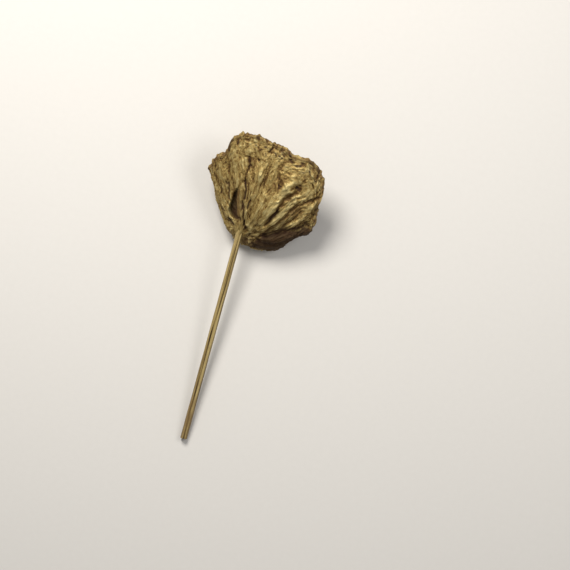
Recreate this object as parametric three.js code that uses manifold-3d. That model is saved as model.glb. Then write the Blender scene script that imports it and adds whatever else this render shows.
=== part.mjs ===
// A dried lotus seed pod, squashed flat and lying on its side on its cut stem.
// Millimetres, +Z up, the stem along Y with its cut end towards -Y.
import * as THREE from "three";
import { mergeVertices } from "three/addons/utils/BufferGeometryUtils.js";
import Module from "manifold-3d";

const wasm = await Module();
wasm.setup();

// Where the stem meets the pod. The pod is turned against the stem, seen from above.
const JOINT = [0, 0, 18];
const POD_TURN = THREE.MathUtils.degToRad(-11.64);

// The stem: its cut end lies on the floor
const STEM_LENGTH = 130.7;
const STEM_RADIUS = 2.1;
const STEM_FOOT_HEIGHT = 2.12;
const STEM_TENON = 3.6;
const STEM_SOCKET_REACH = 14;
const STEM_GROOVE_DEPTH = 0.6;
const STEM_GROOVE_HALF_TURN = 0.22;

// The seeds and their rows across the face
const SEED_LENGTH = 11;
const SEED_RADIUS = 3.5;
const SEED_PROUD = 2.2;
const SEED_STEP = 9.9;
const SEED_SHIFT = 0.4;
const ROW_HEIGHT = 18.8;
const ROW_STEP = 9.4;
const COLLAR_HEIGHT = 0.9;
const COLLAR_DEPTH = 2.5;
const COLLAR_WALL = { foot: 1.3, top: 0.85 };
const SOCKET_REACH = 4;
const SEED_AIM = new THREE.Vector3(0, -14, JOINT[2]);
const FACE_CENTRE = [0.5, 46, ROW_HEIGHT];
const FACE_ARCH_POWER = 3.5;

// Clearance between pieces
const GAP = 0.35;

// Mesh density
const NEAR_COLUMNS = 84;
const FAR_COLUMNS = 16;
const COLUMNS = NEAR_COLUMNS + FAR_COLUMNS;
const WALL_ROWS = 20;
const ROW_CROWDING = 1.15;
const FACE_ROWS = 6;
const SEED_SIDES = 10;
const STEM_STEPS = 6;
const STEM_SIDES = 20;

// The wall's stations from the joint (at 0) to the rim (at 1). The pod's own axes are
// u across, v from the joint to the rim and z up. Each station has its half widths to the
// left and right, and v and z at its side, its top and its far (lower) side.
const STATIONS = [
  {
    at: 0, left: 3.3, right: 3.3, farShift: 0, order: 2,
    vSide: 0, vTop: 1.5, vFar: -1.5, zSide: 18, zTop: 21, zFar: 15,
  },
  {
    at: 0.1, left: 4.8, right: 8.5, farShift: 3, order: 2.1,
    vSide: 0, vTop: 5, vFar: -5.5, zSide: 17, zTop: 24.3, zFar: 10.5,
  },
  {
    at: 0.22, left: 9, right: 17, farShift: 5.5, order: 2.3,
    vSide: 1.5, vTop: 12, vFar: -5.5, zSide: 16, zTop: 29, zFar: 4,
  },
  {
    at: 0.4, left: 15, right: 25.5, farShift: 6, order: 2.6,
    vSide: 6.5, vTop: 24, vFar: -0.4, zSide: 16.5, zTop: 33, zFar: -0.5,
  },
  {
    at: 0.68, left: 24.4, right: 33, farShift: 3, order: 3,
    vSide: 15, vTop: 40, vFar: 17, zSide: 18.5, zTop: 36, zFar: -1,
  },
  {
    at: 1, left: 31.6, right: 37.3, farShift: 0, order: 3.4,
    vSide: 22.5, vTop: 53, vFar: 39, zSide: 20, zTop: 38, zFar: -0.4,
  },
];
const STATION_KEYS = Object.keys(STATIONS[0]).filter((key) => key !== "at");

// The far half of a section is rounder: its order at the joint and its growth to the rim,
// and how sharply the near half's order takes over
const FAR_ORDER = 2;
const FAR_ORDER_GROWTH = 0.7;
const ORDER_CHANGE = 8;
const WIDTH_CHANGE = 3;

// How far the rim stands above its station: [degrees round the pod, millimetres].
// Degrees run from 0 on the right over 90 on top to 180 on the left.
const RIM_LIFT = [
  [0, -0.5], [12, -2.8], [25, -5], [36, -2.6], [45, -0.8], [55, 1.1], [63, 1.9], [72, 0.4],
  [79, -0.6], [85, 1], [97, 0.7], [105, 0.2], [117, 0.6], [130, 0.5], [140, -0.4], [147, -2.4],
  [151, -4.2], [156, -3], [163, 0.2], [172, 1.4], [200, 2.2], [270, 0.4], [330, 1.2],
];
const RIM_LIFT_FROM = 0.55;

// The rolled rim: [along the wall, outwards] from the wall's last row. The wall's relief
// has died away at its last step.
const LIP = [[1.2, 0.3], [2.3, -0.6], [2.5, -2], [1.4, -3.4], [0.2, -4.6]];

// Folds are laid out on the wall as if it were flat, with a degree's length at the rim
// and a station's length from the joint to the rim, in millimetres
const DEGREE_LENGTH = 0.55;
const STATION_LENGTH = 55;

// A fold is lower at its path's ends, over half of the first and last stretch, and
// narrower near the joint, where the wall is
const FOLD_CUT = -60;
const FOLD_END_HEIGHT = 0.45;
const FOLD_END_STRETCH = 0.5;
const FOLD_FULL_FROM = 0.35;
const FOLD_LEAST_WIDTH = 0.45;
const LEAST_GIRTH = 0.12;

// Each path is [degrees round the pod, station]. A groove's height is below zero.
const FOLDS = [
  {
    name: "long crack, by the rim", height: -1.5, width: 1.7,
    path: [[122, 0.77], [121, 0.69], [119, 0.65], [120, 0.6], [123, 0.52]],
  },
  {
    name: "branch over the hollow", height: -1, width: 1.7,
    path: [[123, 0.52], [126, 0.46], [138, 0.43]],
  },
  {
    name: "long crack, by the joint", height: -1.6, width: 1.7,
    path: [[121, 0.41], [122, 0.33], [118, 0.27], [113, 0.18], [92, 0.08]],
  },
  {
    name: "short crack beside the long one", height: -0.9, width: 1.7,
    path: [[101, 0.34], [101, 0.27], [100, 0.24]],
  },
  {
    name: "left lobe's crease", height: -0.8, width: 1.7,
    path: [[159, 0.61], [156, 0.53], [158, 0.47], [161, 0.4]],
  },
  {
    name: "notch under the left lobe", height: -1.1, width: 1.7,
    path: [[172, 0.61], [170, 0.56]],
  },
  {
    name: "left edge of the hollow", height: -1.2, width: 1.7,
    path: [[177, 0.27], [173, 0.21], [168, 0.1]],
  },
  {
    name: "deep groove", height: -2.4, width: 1.7,
    path: [[57, 0.37], [55, 0.33], [54, 0.28], [49, 0.2]],
  },
  {
    name: "wide hollow above the deep groove", height: -1.3, width: 2.4,
    path: [[58, 0.59], [58, 0.51], [58, 0.44]],
  },
  {
    name: "right shoulder's pit", height: -1.8, width: 1.7,
    path: [[60, 0.64], [58, 0.67], [56, 0.72]],
  },
  {
    name: "right shoulder's crease", height: -1, width: 1.7,
    path: [[50, 0.88], [48, 0.85], [47, 0.81]],
  },
  {
    name: "valley between the two ridges", height: -2, width: 1.9,
    path: [[34, 1], [38, 0.71], [42, 0.53], [42, 0.4], [34, 0.29], [25, 0.19]],
  },
  {
    name: "right lobe's upper valley", height: -2.2, width: 1.8,
    path: [[22, 1], [23, 0.77], [29, 0.6], [29, 0.46], [22, 0.35]],
  },
  {
    name: "right lobe's lower valley", height: -2.2, width: 2.8,
    path: [[6, 1], [13, 0.6], [15, 0.42], [10, 0.24], [-6, 0.15]],
  },
  {
    name: "rim's notch at the middle", height: -1, width: 1.7,
    path: [[98, 1], [99, 0.88]],
  },
  {
    name: "rim's notch at the right", height: -1.4, width: 1.8,
    path: [[78, 1], [76, 0.96], [72, 0.97]],
  },
  {
    name: "middle trough", height: -0.8, width: 2.2,
    path: [[80, 0.92], [81, 0.81], [80, 0.62], [78, 0.48]],
  },
  {
    name: "inner ridge", height: 1.7, width: 1.8,
    path: [[49, 0.78], [53, 0.57], [51, 0.47], [48, 0.36], [45, 0.3]],
  },
  {
    name: "ridge right of the deep groove", height: 1.2, width: 1.7,
    path: [[60, 0.61], [63, 0.49], [62, 0.38], [59, 0.29], [52, 0.18]],
  },
  {
    name: "outer ridge by the joint", height: 1.1, width: 1.7,
    path: [[38, 0.39], [32, 0.31], [24, 0.25]],
  },
  {
    name: "outer ridge's second fold", height: 1.1, width: 1.7,
    path: [[32, 0.46], [28, 0.37], [23, 0.33]],
  },
  {
    name: "right lobe's ridge", height: 1.3, width: 2,
    path: [[24, 0.63], [22, 0.56], [18, 0.45]],
  },
  {
    name: "right lobe's ridge, by the rim", height: 1.1, width: 1.8,
    path: [[30, 1], [33, 0.77], [34, 0.59]],
  },
  {
    name: "middle ridge", height: 0.8, width: 1.8,
    path: [[94, 0.62], [94, 0.55], [96, 0.45]],
  },
  {
    name: "swelling of the right corner", height: 2.2, width: 5,
    path: [[4, 1], [-4, 0.86], [-10, 0.7]],
  },
];

// Slow swells round the wall: waves in a turn, their twist from joint to rim, their start
// and their height
const SWELLS = [
  { waves: 11, twist: 2.2, phase: 0, height: 0.45 },
  { waves: 19, twist: -3.1, phase: 1.3, height: 0.35 },
];
const SWELLS_GROW = [0.02, 0.3];
const SWELLS_FADE = [0.6, 1];
const SWELLS_LOST = 0.6;

// The pocket torn open beside the long crack: a hollow with a steep left edge, and a sunk
// flap between it and the right edge. The edges are [station, degrees].
const POCKET = {
  hollowDepth: 3.6,
  flapDepth: 1,
  lean: 1.6,
  endRoundness: 0.45,
  edgeShare: 0.1,
  hollowShare: [0.34, 0.52],
  flapShare: [0.8, 1],
  left: [[0.16, 150], [0.22, 160], [0.27, 163], [0.32, 163], [0.36, 157], [0.4, 147], [0.44, 136]],
  right: [[0.16, 110], [0.22, 116], [0.27, 119], [0.32, 122], [0.38, 122], [0.44, 128]],
};

const add = (a, b, scale = 1) => a.map((value, k) => value + b[k] * scale);
const subtract = (a, b) => a.map((value, k) => value - b[k]);
const dot = (a, b) => a.reduce((sum, value, k) => sum + value * b[k], 0);
const cross = (a, b) => [a[1] * b[2] - a[2] * b[1], a[2] * b[0] - a[0] * b[2], a[0] * b[1] - a[1] * b[0]];
const unit = (a) => a.map((value) => value / Math.hypot(...a));
const clamp = THREE.MathUtils.clamp;
const smoothstep = THREE.MathUtils.smoothstep;

// A smooth curve through [position, value] pairs that never overshoots its steps by much
function throughPoints(points, at) {
  const i = clamp(points.findIndex((point) => point[0] > at) - 1, 0, points.length - 2);
  const index = at >= points[points.length - 1][0] ? points.length - 2 : i;
  const step = (k) => points[k + 1][0] - points[k][0];
  const chord = (k) => (points[k + 1][1] - points[k][1]) / step(k);
  const slope = (k) => {
    if (k === 0) return chord(0);
    if (k === points.length - 1) return chord(k - 1);
    return (chord(k - 1) * step(k) + chord(k) * step(k - 1)) / (step(k) + step(k - 1));
  };
  const h = step(index);
  const w = (at - points[index][0]) / h;
  const [w2, w3] = [w * w, w * w * w];
  return (2 * w3 - 3 * w2 + 1) * points[index][1] + (w3 - 2 * w2 + w) * h * slope(index)
    + (3 * w2 - 2 * w3) * points[index + 1][1] + (w3 - w2) * h * slope(index + 1);
}

function station(at) {
  const values = {};
  for (const key of STATION_KEYS) {
    values[key] = throughPoints(STATIONS.map((row) => [row.at, row[key]]), at);
  }
  return values;
}

// The plain wall: rounded-box sections whose far half is shifted and whose rim is arched
function plainWall(angle, at) {
  const ring = station(at);
  const [c, n] = [Math.cos(angle), Math.sin(angle)];
  const farOrder = FAR_ORDER + FAR_ORDER_GROWTH * at;
  const order = farOrder + (ring.order - farOrder) / (1 + Math.exp(-ORDER_CHANGE * n));
  const reach = (Math.abs(c) ** order + Math.abs(n) ** order) ** (-1 / order);
  const [x, y] = [reach * c, reach * n];
  const rightness = Math.tanh(WIDTH_CHANGE * x) / Math.tanh(WIDTH_CHANGE);
  const half = (ring.left + ring.right) / 2 + (ring.right - ring.left) / 2 * rightness;
  const tilt = y * (1.3 - 0.3 * y * y);
  const arch = Math.abs(y) ** 1.3 * (1.5 - 0.5 * Math.abs(y));
  return [
    half * x + ring.farShift * clamp(-y, 0, 1) ** 1.5,
    ring.vSide + (ring.vTop - ring.vFar) / 2 * tilt + (ring.vTop + ring.vFar - 2 * ring.vSide) / 2 * arch,
    ring.zSide + (ring.zTop - ring.zFar) / 2 * y + (ring.zTop + ring.zFar - 2 * ring.zSide) / 2 * y * y,
  ];
}

// Degrees round the pod, cut open at the given degrees
function openDegrees(angle, cut) {
  return THREE.MathUtils.euclideanModulo(THREE.MathUtils.radToDeg(angle) - cut, 360) + cut;
}

function rimLift(angle) {
  return throughPoints([...RIM_LIFT, [360, RIM_LIFT[0][1]]], openDegrees(angle, 0));
}

// The wall's own direction at the rim, from the joint outwards
function rimDirection(angle) {
  return unit(subtract(plainWall(angle, 1), plainWall(angle, 0.93)));
}

function liftedWall(angle, at) {
  const lift = rimLift(angle) * clamp((at - RIM_LIFT_FROM) / (1 - RIM_LIFT_FROM), 0, 1) ** 2;
  return add(plainWall(angle, at), rimDirection(angle), lift);
}

// The normal points out of the pod
function wallNormal(angle, at) {
  const step = 0.004;
  const low = Math.max(at - step, 0);
  const high = Math.min(at + step, 1);
  const round = subtract(liftedWall(angle + step, at), liftedWall(angle - step, at));
  const along = subtract(liftedWall(angle, high), liftedWall(angle, low));
  return unit(cross(along, round));
}

// A fold's outline at a point of the wall: 1 on its path, falling away as a bell to the
// sides, and lower at the path's two ends
function foldShape({ width, path }, degrees, at) {
  const scale = DEGREE_LENGTH * Math.max(at, LEAST_GIRTH);
  const place = ([d, s]) => [d * scale, s * STATION_LENGTH];
  const point = place([degrees, at]);
  let [best, reached] = [Infinity, 0];
  for (let i = 0; i + 1 < path.length; i += 1) {
    const from = place(path[i]);
    const span = subtract(place(path[i + 1]), from);
    const offset = subtract(point, from);
    const share = clamp(dot(offset, span) / dot(span, span), 0, 1);
    const away = Math.hypot(...add(offset, span, -share));
    if (away < best) [best, reached] = [away, i + share];
  }
  const end = Math.min(reached, path.length - 1 - reached);
  const fade = FOLD_END_HEIGHT + (1 - FOLD_END_HEIGHT) * smoothstep(end, 0, FOLD_END_STRETCH);
  const reach = width * clamp(at / FOLD_FULL_FROM, FOLD_LEAST_WIDTH, 1);
  return fade * Math.exp(-((best / reach) ** 2));
}

// How deep the pocket is: down its steep left edge, level over the hollow, up to the flap
function pocketDepth(degrees, at) {
  const [low, high] = [POCKET.left[0][0], POCKET.left[POCKET.left.length - 1][0]];
  if (at <= low || at >= high) return 0;
  const left = throughPoints(POCKET.left, at);
  const right = throughPoints(POCKET.right, at);
  const across = clamp((left - degrees) / (left - right), 0, 1);
  const ends = Math.sin(Math.PI * (at - low) / (high - low)) ** POCKET.endRoundness;
  const edge = smoothstep(across, 0, POCKET.edgeShare) * ends;
  const hollow = edge * (1 - smoothstep(across, ...POCKET.hollowShare));
  const flap = edge * (1 - smoothstep(across, ...POCKET.flapShare));
  return POCKET.hollowDepth * hollow + POCKET.flapDepth * flap;
}

// The folds and swells: how far the wall stands out of the plain wall
function relief(angle, at) {
  const grown = smoothstep(at, ...SWELLS_GROW) * (1 - SWELLS_LOST * smoothstep(at, ...SWELLS_FADE));
  let height = 0;
  const degrees = openDegrees(angle, FOLD_CUT);
  for (const fold of FOLDS) height += fold.height * foldShape(fold, degrees, at);
  for (const swell of SWELLS) {
    height += swell.height * grown * Math.sin(swell.waves * angle + swell.twist * at + swell.phase);
  }
  return height;
}

// The folds stand along the wall's normal. The pocket sinks along a way that leans towards
// straight down, so that its edge stays where it is seen from above.
function wallPoint(angle, at) {
  const normal = wallNormal(angle, at);
  const sinking = unit(add(normal, [0, 0, POCKET.lean]));
  const folded = add(liftedWall(angle, at), normal, relief(angle, at));
  return add(folded, sinking, -pocketDepth(openDegrees(angle, FOLD_CUT), at));
}

// A point of the rolled rim, at the given step of its outline
function lipPoint(angle, step) {
  const [along, outward] = LIP[step - 1];
  const left = 1 - step / LIP.length;
  const rolled = add(liftedWall(angle, 1), rimDirection(angle), along);
  return add(rolled, wallNormal(angle, 1), outward + relief(angle, 1) * left);
}

// The face, sunk behind the rim: straight in u and z from the centre to the lip's
// inner edge, arched in v
function facePoint(angle, share) {
  const edge = lipPoint(angle, LIP.length);
  const arch = 1 - share ** FACE_ARCH_POWER;
  return [
    FACE_CENTRE[0] + (edge[0] - FACE_CENTRE[0]) * share,
    edge[1] + (FACE_CENTRE[1] - edge[1]) * arch,
    FACE_CENTRE[2] + (edge[2] - FACE_CENTRE[2]) * share,
  ];
}

// The flattened belly: nothing reaches below the floor
const onFloor = ([u, v, z]) => [u, v, Math.max(z, 0)];

// The point of the face that has the given u and z
const faceEdges = Array.from({ length: 360 }, (_, degrees) => {
  const angle = THREE.MathUtils.degToRad(degrees);
  const edge = subtract(lipPoint(angle, LIP.length), FACE_CENTRE);
  return { angle, way: unit([edge[0], edge[2]]), reach: Math.hypot(edge[0], edge[2]) };
});
function faceAt(u, z) {
  const aim = [u - FACE_CENTRE[0], z - FACE_CENTRE[2]];
  const edge = faceEdges.reduce((best, other) => (dot(other.way, aim) > dot(best.way, aim) ? other : best));
  return facePoint(edge.angle, Math.hypot(...aim) / edge.reach);
}

// Booleans run on closed meshes of bare positions
function solidOf(geometry, matrix = new THREE.Matrix4()) {
  const bare = geometry.clone().applyMatrix4(matrix);
  bare.deleteAttribute("normal");
  bare.deleteAttribute("uv");
  const merged = mergeVertices(bare, 1e-4);
  const triangles = [];
  for (let i = 0; i < merged.index.count; i += 3) {
    const corners = [merged.index.getX(i), merged.index.getX(i + 1), merged.index.getX(i + 2)];
    if (new Set(corners).size === 3) triangles.push(...corners);
  }
  return new wasm.Manifold(new wasm.Mesh({
    numProp: 3,
    vertProperties: new Float32Array(merged.attributes.position.array),
    triVerts: new Uint32Array(triangles),
  }));
}

function geometryOf(solid) {
  const mesh = solid.getMesh();
  const geometry = new THREE.BufferGeometry();
  geometry.setAttribute("position", new THREE.BufferAttribute(new Float32Array(mesh.vertProperties), 3));
  geometry.setIndex(new THREE.BufferAttribute(new Uint32Array(mesh.triVerts), 1));
  geometry.computeVertexNormals();
  return geometry;
}

// Most columns are on the upper side and the ends, which show their folds. They run
// clockwise, so the skin's faces point out.
const NEAR_END = 200;
const NEAR_SPAN = 220;
const columnAngles = Array.from({ length: COLUMNS }, (_, k) => {
  const near = NEAR_END - NEAR_SPAN * k / NEAR_COLUMNS;
  const far = NEAR_END - NEAR_SPAN - (360 - NEAR_SPAN) * (k - NEAR_COLUMNS) / FAR_COLUMNS;
  return THREE.MathUtils.degToRad(k < NEAR_COLUMNS ? near : far);
});

// The receptacle's closed skin: rings of points from the joint over the wall, the lip
// and the face, with one point at each end
function receptacleSkin() {
  const rings = [];
  const addRing = (point) => rings.push(columnAngles.map((angle) => onFloor(point(angle))));
  for (let i = 0; i <= WALL_ROWS; i += 1) {
    const at = (i / WALL_ROWS) ** ROW_CROWDING;
    addRing((angle) => wallPoint(angle, at));
  }
  for (let step = 1; step <= LIP.length; step += 1) addRing((angle) => lipPoint(angle, step));
  for (let i = 1; i < FACE_ROWS; i += 1) addRing((angle) => facePoint(angle, 1 - i / FACE_ROWS));
  const points = [JOINT, ...rings.flat(), FACE_CENTRE];
  const triangles = [];
  for (let j = 0; j < COLUMNS; j += 1) {
    const next = (j + 1) % COLUMNS;
    triangles.push(0, 1 + next, 1 + j);
    for (let i = 0; i + 1 < rings.length; i += 1) {
      const [a, b] = [1 + i * COLUMNS + j, 1 + i * COLUMNS + next];
      triangles.push(a, b, a + COLUMNS, b, b + COLUMNS, a + COLUMNS);
    }
    const last = 1 + (rings.length - 1) * COLUMNS;
    triangles.push(last + j, last + next, points.length - 1);
  }
  const geometry = new THREE.BufferGeometry();
  geometry.setAttribute("position", new THREE.Float32BufferAttribute(points.flat(), 3));
  geometry.setIndex(triangles);
  return geometry;
}

// Turned shapes about +Y, from [height, radius] pairs that start and end on the axis
function turned(profile) {
  return new THREE.LatheGeometry(profile.map(([y, radius]) => new THREE.Vector2(radius, y)), SEED_SIDES);
}

const SEED_GIRTH = [[0, 0], [0.08, 0.52], [0.34, 0.98], [0.7, 0.98], [0.93, 0.5], [1, 0]];
const seedShape = turned(SEED_GIRTH.map(([share, girth]) => [share * SEED_LENGTH, girth * SEED_RADIUS]));
const hollowShape = turned([
  [-GAP, 0],
  ...SEED_GIRTH.slice(1, 3).map(([share, girth]) => [share * SEED_LENGTH - GAP / 2, girth * SEED_RADIUS + GAP]),
  [SEED_LENGTH + SOCKET_REACH, SEED_RADIUS + GAP],
  [SEED_LENGTH + SOCKET_REACH, 0],
]);
const mouthHeight = SEED_LENGTH - SEED_PROUD;
const collarShape = turned([
  [mouthHeight - COLLAR_DEPTH, 0],
  [mouthHeight - COLLAR_DEPTH, SEED_RADIUS + COLLAR_WALL.foot],
  [mouthHeight + COLLAR_HEIGHT, SEED_RADIUS + COLLAR_WALL.top],
  [mouthHeight + COLLAR_HEIGHT, 0],
]);

// A repeatable spread of small shifts, between -1 and 1
const scatter = (index) => {
  const value = Math.sin(index * 12.9898) * 43758.5453;
  return 2 * (value - Math.floor(value)) - 1;
};

// The seeds stand in three rows across the face, each along a line from the joint
const seedPlaces = [];
for (const [row, count] of [[0, 6], [-1, 5], [1, 5]]) {
  for (let k = 0; k < count; k += 1) {
    const index = seedPlaces.length + 1;
    const u = FACE_CENTRE[0] + (k - (count - 1) / 2) * SEED_STEP + SEED_SHIFT * scatter(index);
    const z = ROW_HEIGHT + row * ROW_STEP + SEED_SHIFT * scatter(index + 40);
    const mouth = new THREE.Vector3(...faceAt(u, z));
    const axis = mouth.clone().sub(SEED_AIM).normalize();
    const position = mouth.addScaledVector(axis, SEED_PROUD - SEED_LENGTH);
    const quaternion = new THREE.Quaternion().setFromUnitVectors(new THREE.Vector3(0, 1, 0), axis);
    const matrix = new THREE.Matrix4().compose(position, quaternion, new THREE.Vector3(1, 1, 1));
    seedPlaces.push({ position, quaternion, matrix });
  }
}

// The stem comes out of the joint, one groove along its upper side, down to the floor
const stemAxis = new THREE.Vector3(0, -STEM_LENGTH, STEM_FOOT_HEIGHT - JOINT[2]).normalize();
const stemAcross = new THREE.Vector3(1, 0, 0);
const stemFrame = new THREE.Matrix4().makeBasis(stemAcross, stemAxis.clone().cross(stemAcross), stemAxis);
const stemMatrix = stemFrame.clone()
  .setPosition(stemAxis.clone().multiplyScalar(-STEM_TENON).add(new THREE.Vector3(...JOINT)));

function stemOutline(radius, grooveDepth) {
  const shape = new THREE.Shape();
  const edge = STEM_GROOVE_HALF_TURN;
  shape.absarc(0, 0, radius, Math.PI / 2 + edge, 2.5 * Math.PI - edge, false);
  if (grooveDepth > 0) shape.lineTo(0, radius - grooveDepth);
  shape.closePath();
  return shape;
}
const stemShape = new THREE.ExtrudeGeometry(stemOutline(STEM_RADIUS, STEM_GROOVE_DEPTH), {
  depth: STEM_LENGTH + STEM_TENON, steps: STEM_STEPS, curveSegments: STEM_SIDES, bevelEnabled: false,
});
const stemSocketShape = new THREE.ExtrudeGeometry(stemOutline(STEM_RADIUS + GAP, 0), {
  depth: STEM_TENON + STEM_SOCKET_REACH, curveSegments: STEM_SIDES, bevelEnabled: false,
}).translate(0, 0, -GAP);

function receptacleShape() {
  let solid = solidOf(receptacleSkin());
  for (const { matrix } of seedPlaces) solid = solid.add(solidOf(collarShape, matrix));
  for (const { matrix } of seedPlaces) solid = solid.subtract(solidOf(hollowShape, matrix));
  const socketMatrix = new THREE.Matrix4().makeRotationZ(-POD_TURN).multiply(stemMatrix);
  return geometryOf(solid.subtract(solidOf(stemSocketShape, socketMatrix)));
}

const podGold = new THREE.MeshStandardMaterial({ color: 0x8f784a, roughness: 0.5, metalness: 0.35 });
const stemGold = new THREE.MeshStandardMaterial({ color: 0x877858, roughness: 0.5, metalness: 0.35 });
const seedBrown = new THREE.MeshStandardMaterial({ color: 0x4a3b25, roughness: 0.6, metalness: 0.1 });

function named(name, geometry, material) {
  const mesh = new THREE.Mesh(geometry, material);
  mesh.name = name;
  return mesh;
}

const pod = new THREE.Group();
pod.rotation.z = POD_TURN;
pod.add(named("receptacle", receptacleShape(), podGold));
seedPlaces.forEach(({ position, quaternion }, k) => {
  const seed = named(`seed_${String(k + 1).padStart(2, "0")}`, seedShape, seedBrown);
  seed.position.copy(position);
  seed.quaternion.copy(quaternion);
  pod.add(seed);
});

const stem = named("stem", stemShape, stemGold);
stem.applyMatrix4(stemMatrix);

// The origin is on the floor under the middle of the whole part's box
const part = new THREE.Group();
part.name = "lotus_seed_pod";
part.add(pod, stem);
part.updateMatrixWorld(true);
const box = new THREE.Box3().setFromObject(part, true);
const middle = box.getCenter(new THREE.Vector3());
part.position.set(-middle.x, -middle.y, -box.min.z);
part.updateMatrixWorld(true);

export default part;
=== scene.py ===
"""A dried lotus seed pod on its cut stem, painted gold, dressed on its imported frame.

Everything is modelled in millimetres in the pod's own axes (u across, v from the joint
to the rim, z up), turned into the row's frame and stored in metres. A place on the pod
is an angle round it, 0 to the right and a quarter turn up, and a station along it, 0 at
the joint and 1 at the rim.
"""

import logging
import math
from dataclasses import astuple, dataclass, field
from enum import Enum
from typing import Sequence

import bpy
import numpy as np
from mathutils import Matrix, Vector


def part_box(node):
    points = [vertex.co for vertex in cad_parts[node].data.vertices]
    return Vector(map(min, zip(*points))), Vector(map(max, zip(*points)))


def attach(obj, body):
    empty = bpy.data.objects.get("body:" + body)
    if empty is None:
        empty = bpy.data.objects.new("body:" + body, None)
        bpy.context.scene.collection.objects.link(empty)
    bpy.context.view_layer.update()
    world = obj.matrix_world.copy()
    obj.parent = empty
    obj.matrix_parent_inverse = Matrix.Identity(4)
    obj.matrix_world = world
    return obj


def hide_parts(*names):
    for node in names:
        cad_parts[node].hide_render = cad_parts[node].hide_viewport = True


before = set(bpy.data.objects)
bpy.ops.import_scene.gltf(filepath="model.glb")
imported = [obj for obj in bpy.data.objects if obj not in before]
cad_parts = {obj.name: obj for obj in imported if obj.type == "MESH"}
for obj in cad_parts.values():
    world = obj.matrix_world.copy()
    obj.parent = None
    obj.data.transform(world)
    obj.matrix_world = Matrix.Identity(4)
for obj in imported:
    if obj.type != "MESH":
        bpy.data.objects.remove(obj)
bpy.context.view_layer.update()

logging.basicConfig(level=logging.INFO, format="%(message)s")
LOG = logging.getLogger("lotus_pod")

MM = 0.001
Array = np.ndarray
Colour = tuple[float, float, float]
Pairs = tuple[tuple[float, float], ...]
Marks = dict[str, Array]

# The stem's sizes, and how far the pod is turned against it
STEM_LENGTH = 130.7
STEM_RADIUS = 2.1
STEM_TENON = 3.6
STEM_FOOT_HEIGHT = 2.12
JOINT_HEIGHT = 18.0
STEM_SLOPE = math.atan2(JOINT_HEIGHT - STEM_FOOT_HEIGHT, STEM_LENGTH)
POD_TURN = math.radians(-11.64)


def find_joint() -> Array:
    """Find where the stem meets the pod, in the row's frame.

    The joint is in the middle of the stem's box across, and behind the box's far end by
    the sloping tenon's reach: tenon times the slope's cosine plus radius times its sine.

    Returns:
        The joint in millimetres.
    """
    low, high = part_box("stem")
    reach = STEM_TENON * math.cos(STEM_SLOPE) + STEM_RADIUS * math.sin(STEM_SLOPE)
    return np.array([(low.x + high.x) / 2 / MM, high.y / MM - reach, JOINT_HEIGHT])


JOINT = find_joint()


# Numbers and small curves


def smoothstep(x: Array, low: float, high: float) -> Array:
    """Rise from 0 at low to 1 at high as 3t² - 2t³."""
    t = np.clip((x - low) / (high - low), 0.0, 1.0)
    return t * t * (3.0 - 2.0 * t)


def bump(x: Array, centre: float, width: float) -> Array:
    """Bell of height 1 about centre: exp(-((x - centre) / width)²)."""
    return np.exp(-(((x - centre) / width) ** 2))


def unit(vectors: Array) -> Array:
    """Scale the last axis to length 1."""
    return vectors / (np.linalg.norm(vectors, axis=-1, keepdims=True) + 1e-12)


def degrees_round(angle: Array) -> Array:
    """Degrees from -60 to 300, which break under the pod, where no fold crosses."""
    return np.mod(np.degrees(angle) + 60, 360) - 60


def short_way(angle: Array) -> Array:
    """An angle as measured the short way round, from minus to plus half a turn."""
    return np.angle(np.exp(1j * angle))


def through_points(points: Sequence[Sequence[float]], at: Array) -> Array:
    """Evaluate the cubic Hermite curve through points.

    The slope at an inner point is the mean of its two chords, each weighted by the
    other's length; an end takes its own chord.

    Args:
        points: rows of a position and one or more values, positions rising.
        at: positions to evaluate at.

    Returns:
        The values, with a last axis for each value column (dropped for one column).
    """
    table = np.asarray(points, dtype=float)
    place, value = table[:, 0], table[:, 1:]
    step = np.diff(place)
    chord = np.diff(value, axis=0) / step[:, None]
    slope = np.vstack([chord[:1], np.zeros_like(chord[1:]), chord[-1:]])
    weighted = chord[:-1] * step[:-1, None] + chord[1:] * step[1:, None]
    slope[1:-1] = weighted / (step[:-1] + step[1:])[:, None]
    at = np.asarray(at, dtype=float)
    i = np.clip(np.searchsorted(place, at, side="right") - 1, 0, len(step) - 1)
    t = ((at - place[i]) / step[i])[..., None]
    h = step[i][..., None]
    t2, t3 = t * t, t * t * t
    curve = (
        (2 * t3 - 3 * t2 + 1) * value[i]
        + (t3 - 2 * t2 + t) * h * slope[i]
        + (3 * t2 - 2 * t3) * value[i + 1]
        + (t3 - t2) * h * slope[i + 1]
    )
    return curve[..., 0] if value.shape[1] == 1 else curve


# A whole number is hashed as the fraction of a large multiple of a sine
HASH_FACTORS = (12.9898, 78.233, 37.719)
HASH_SCALE = 43758.5453


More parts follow.
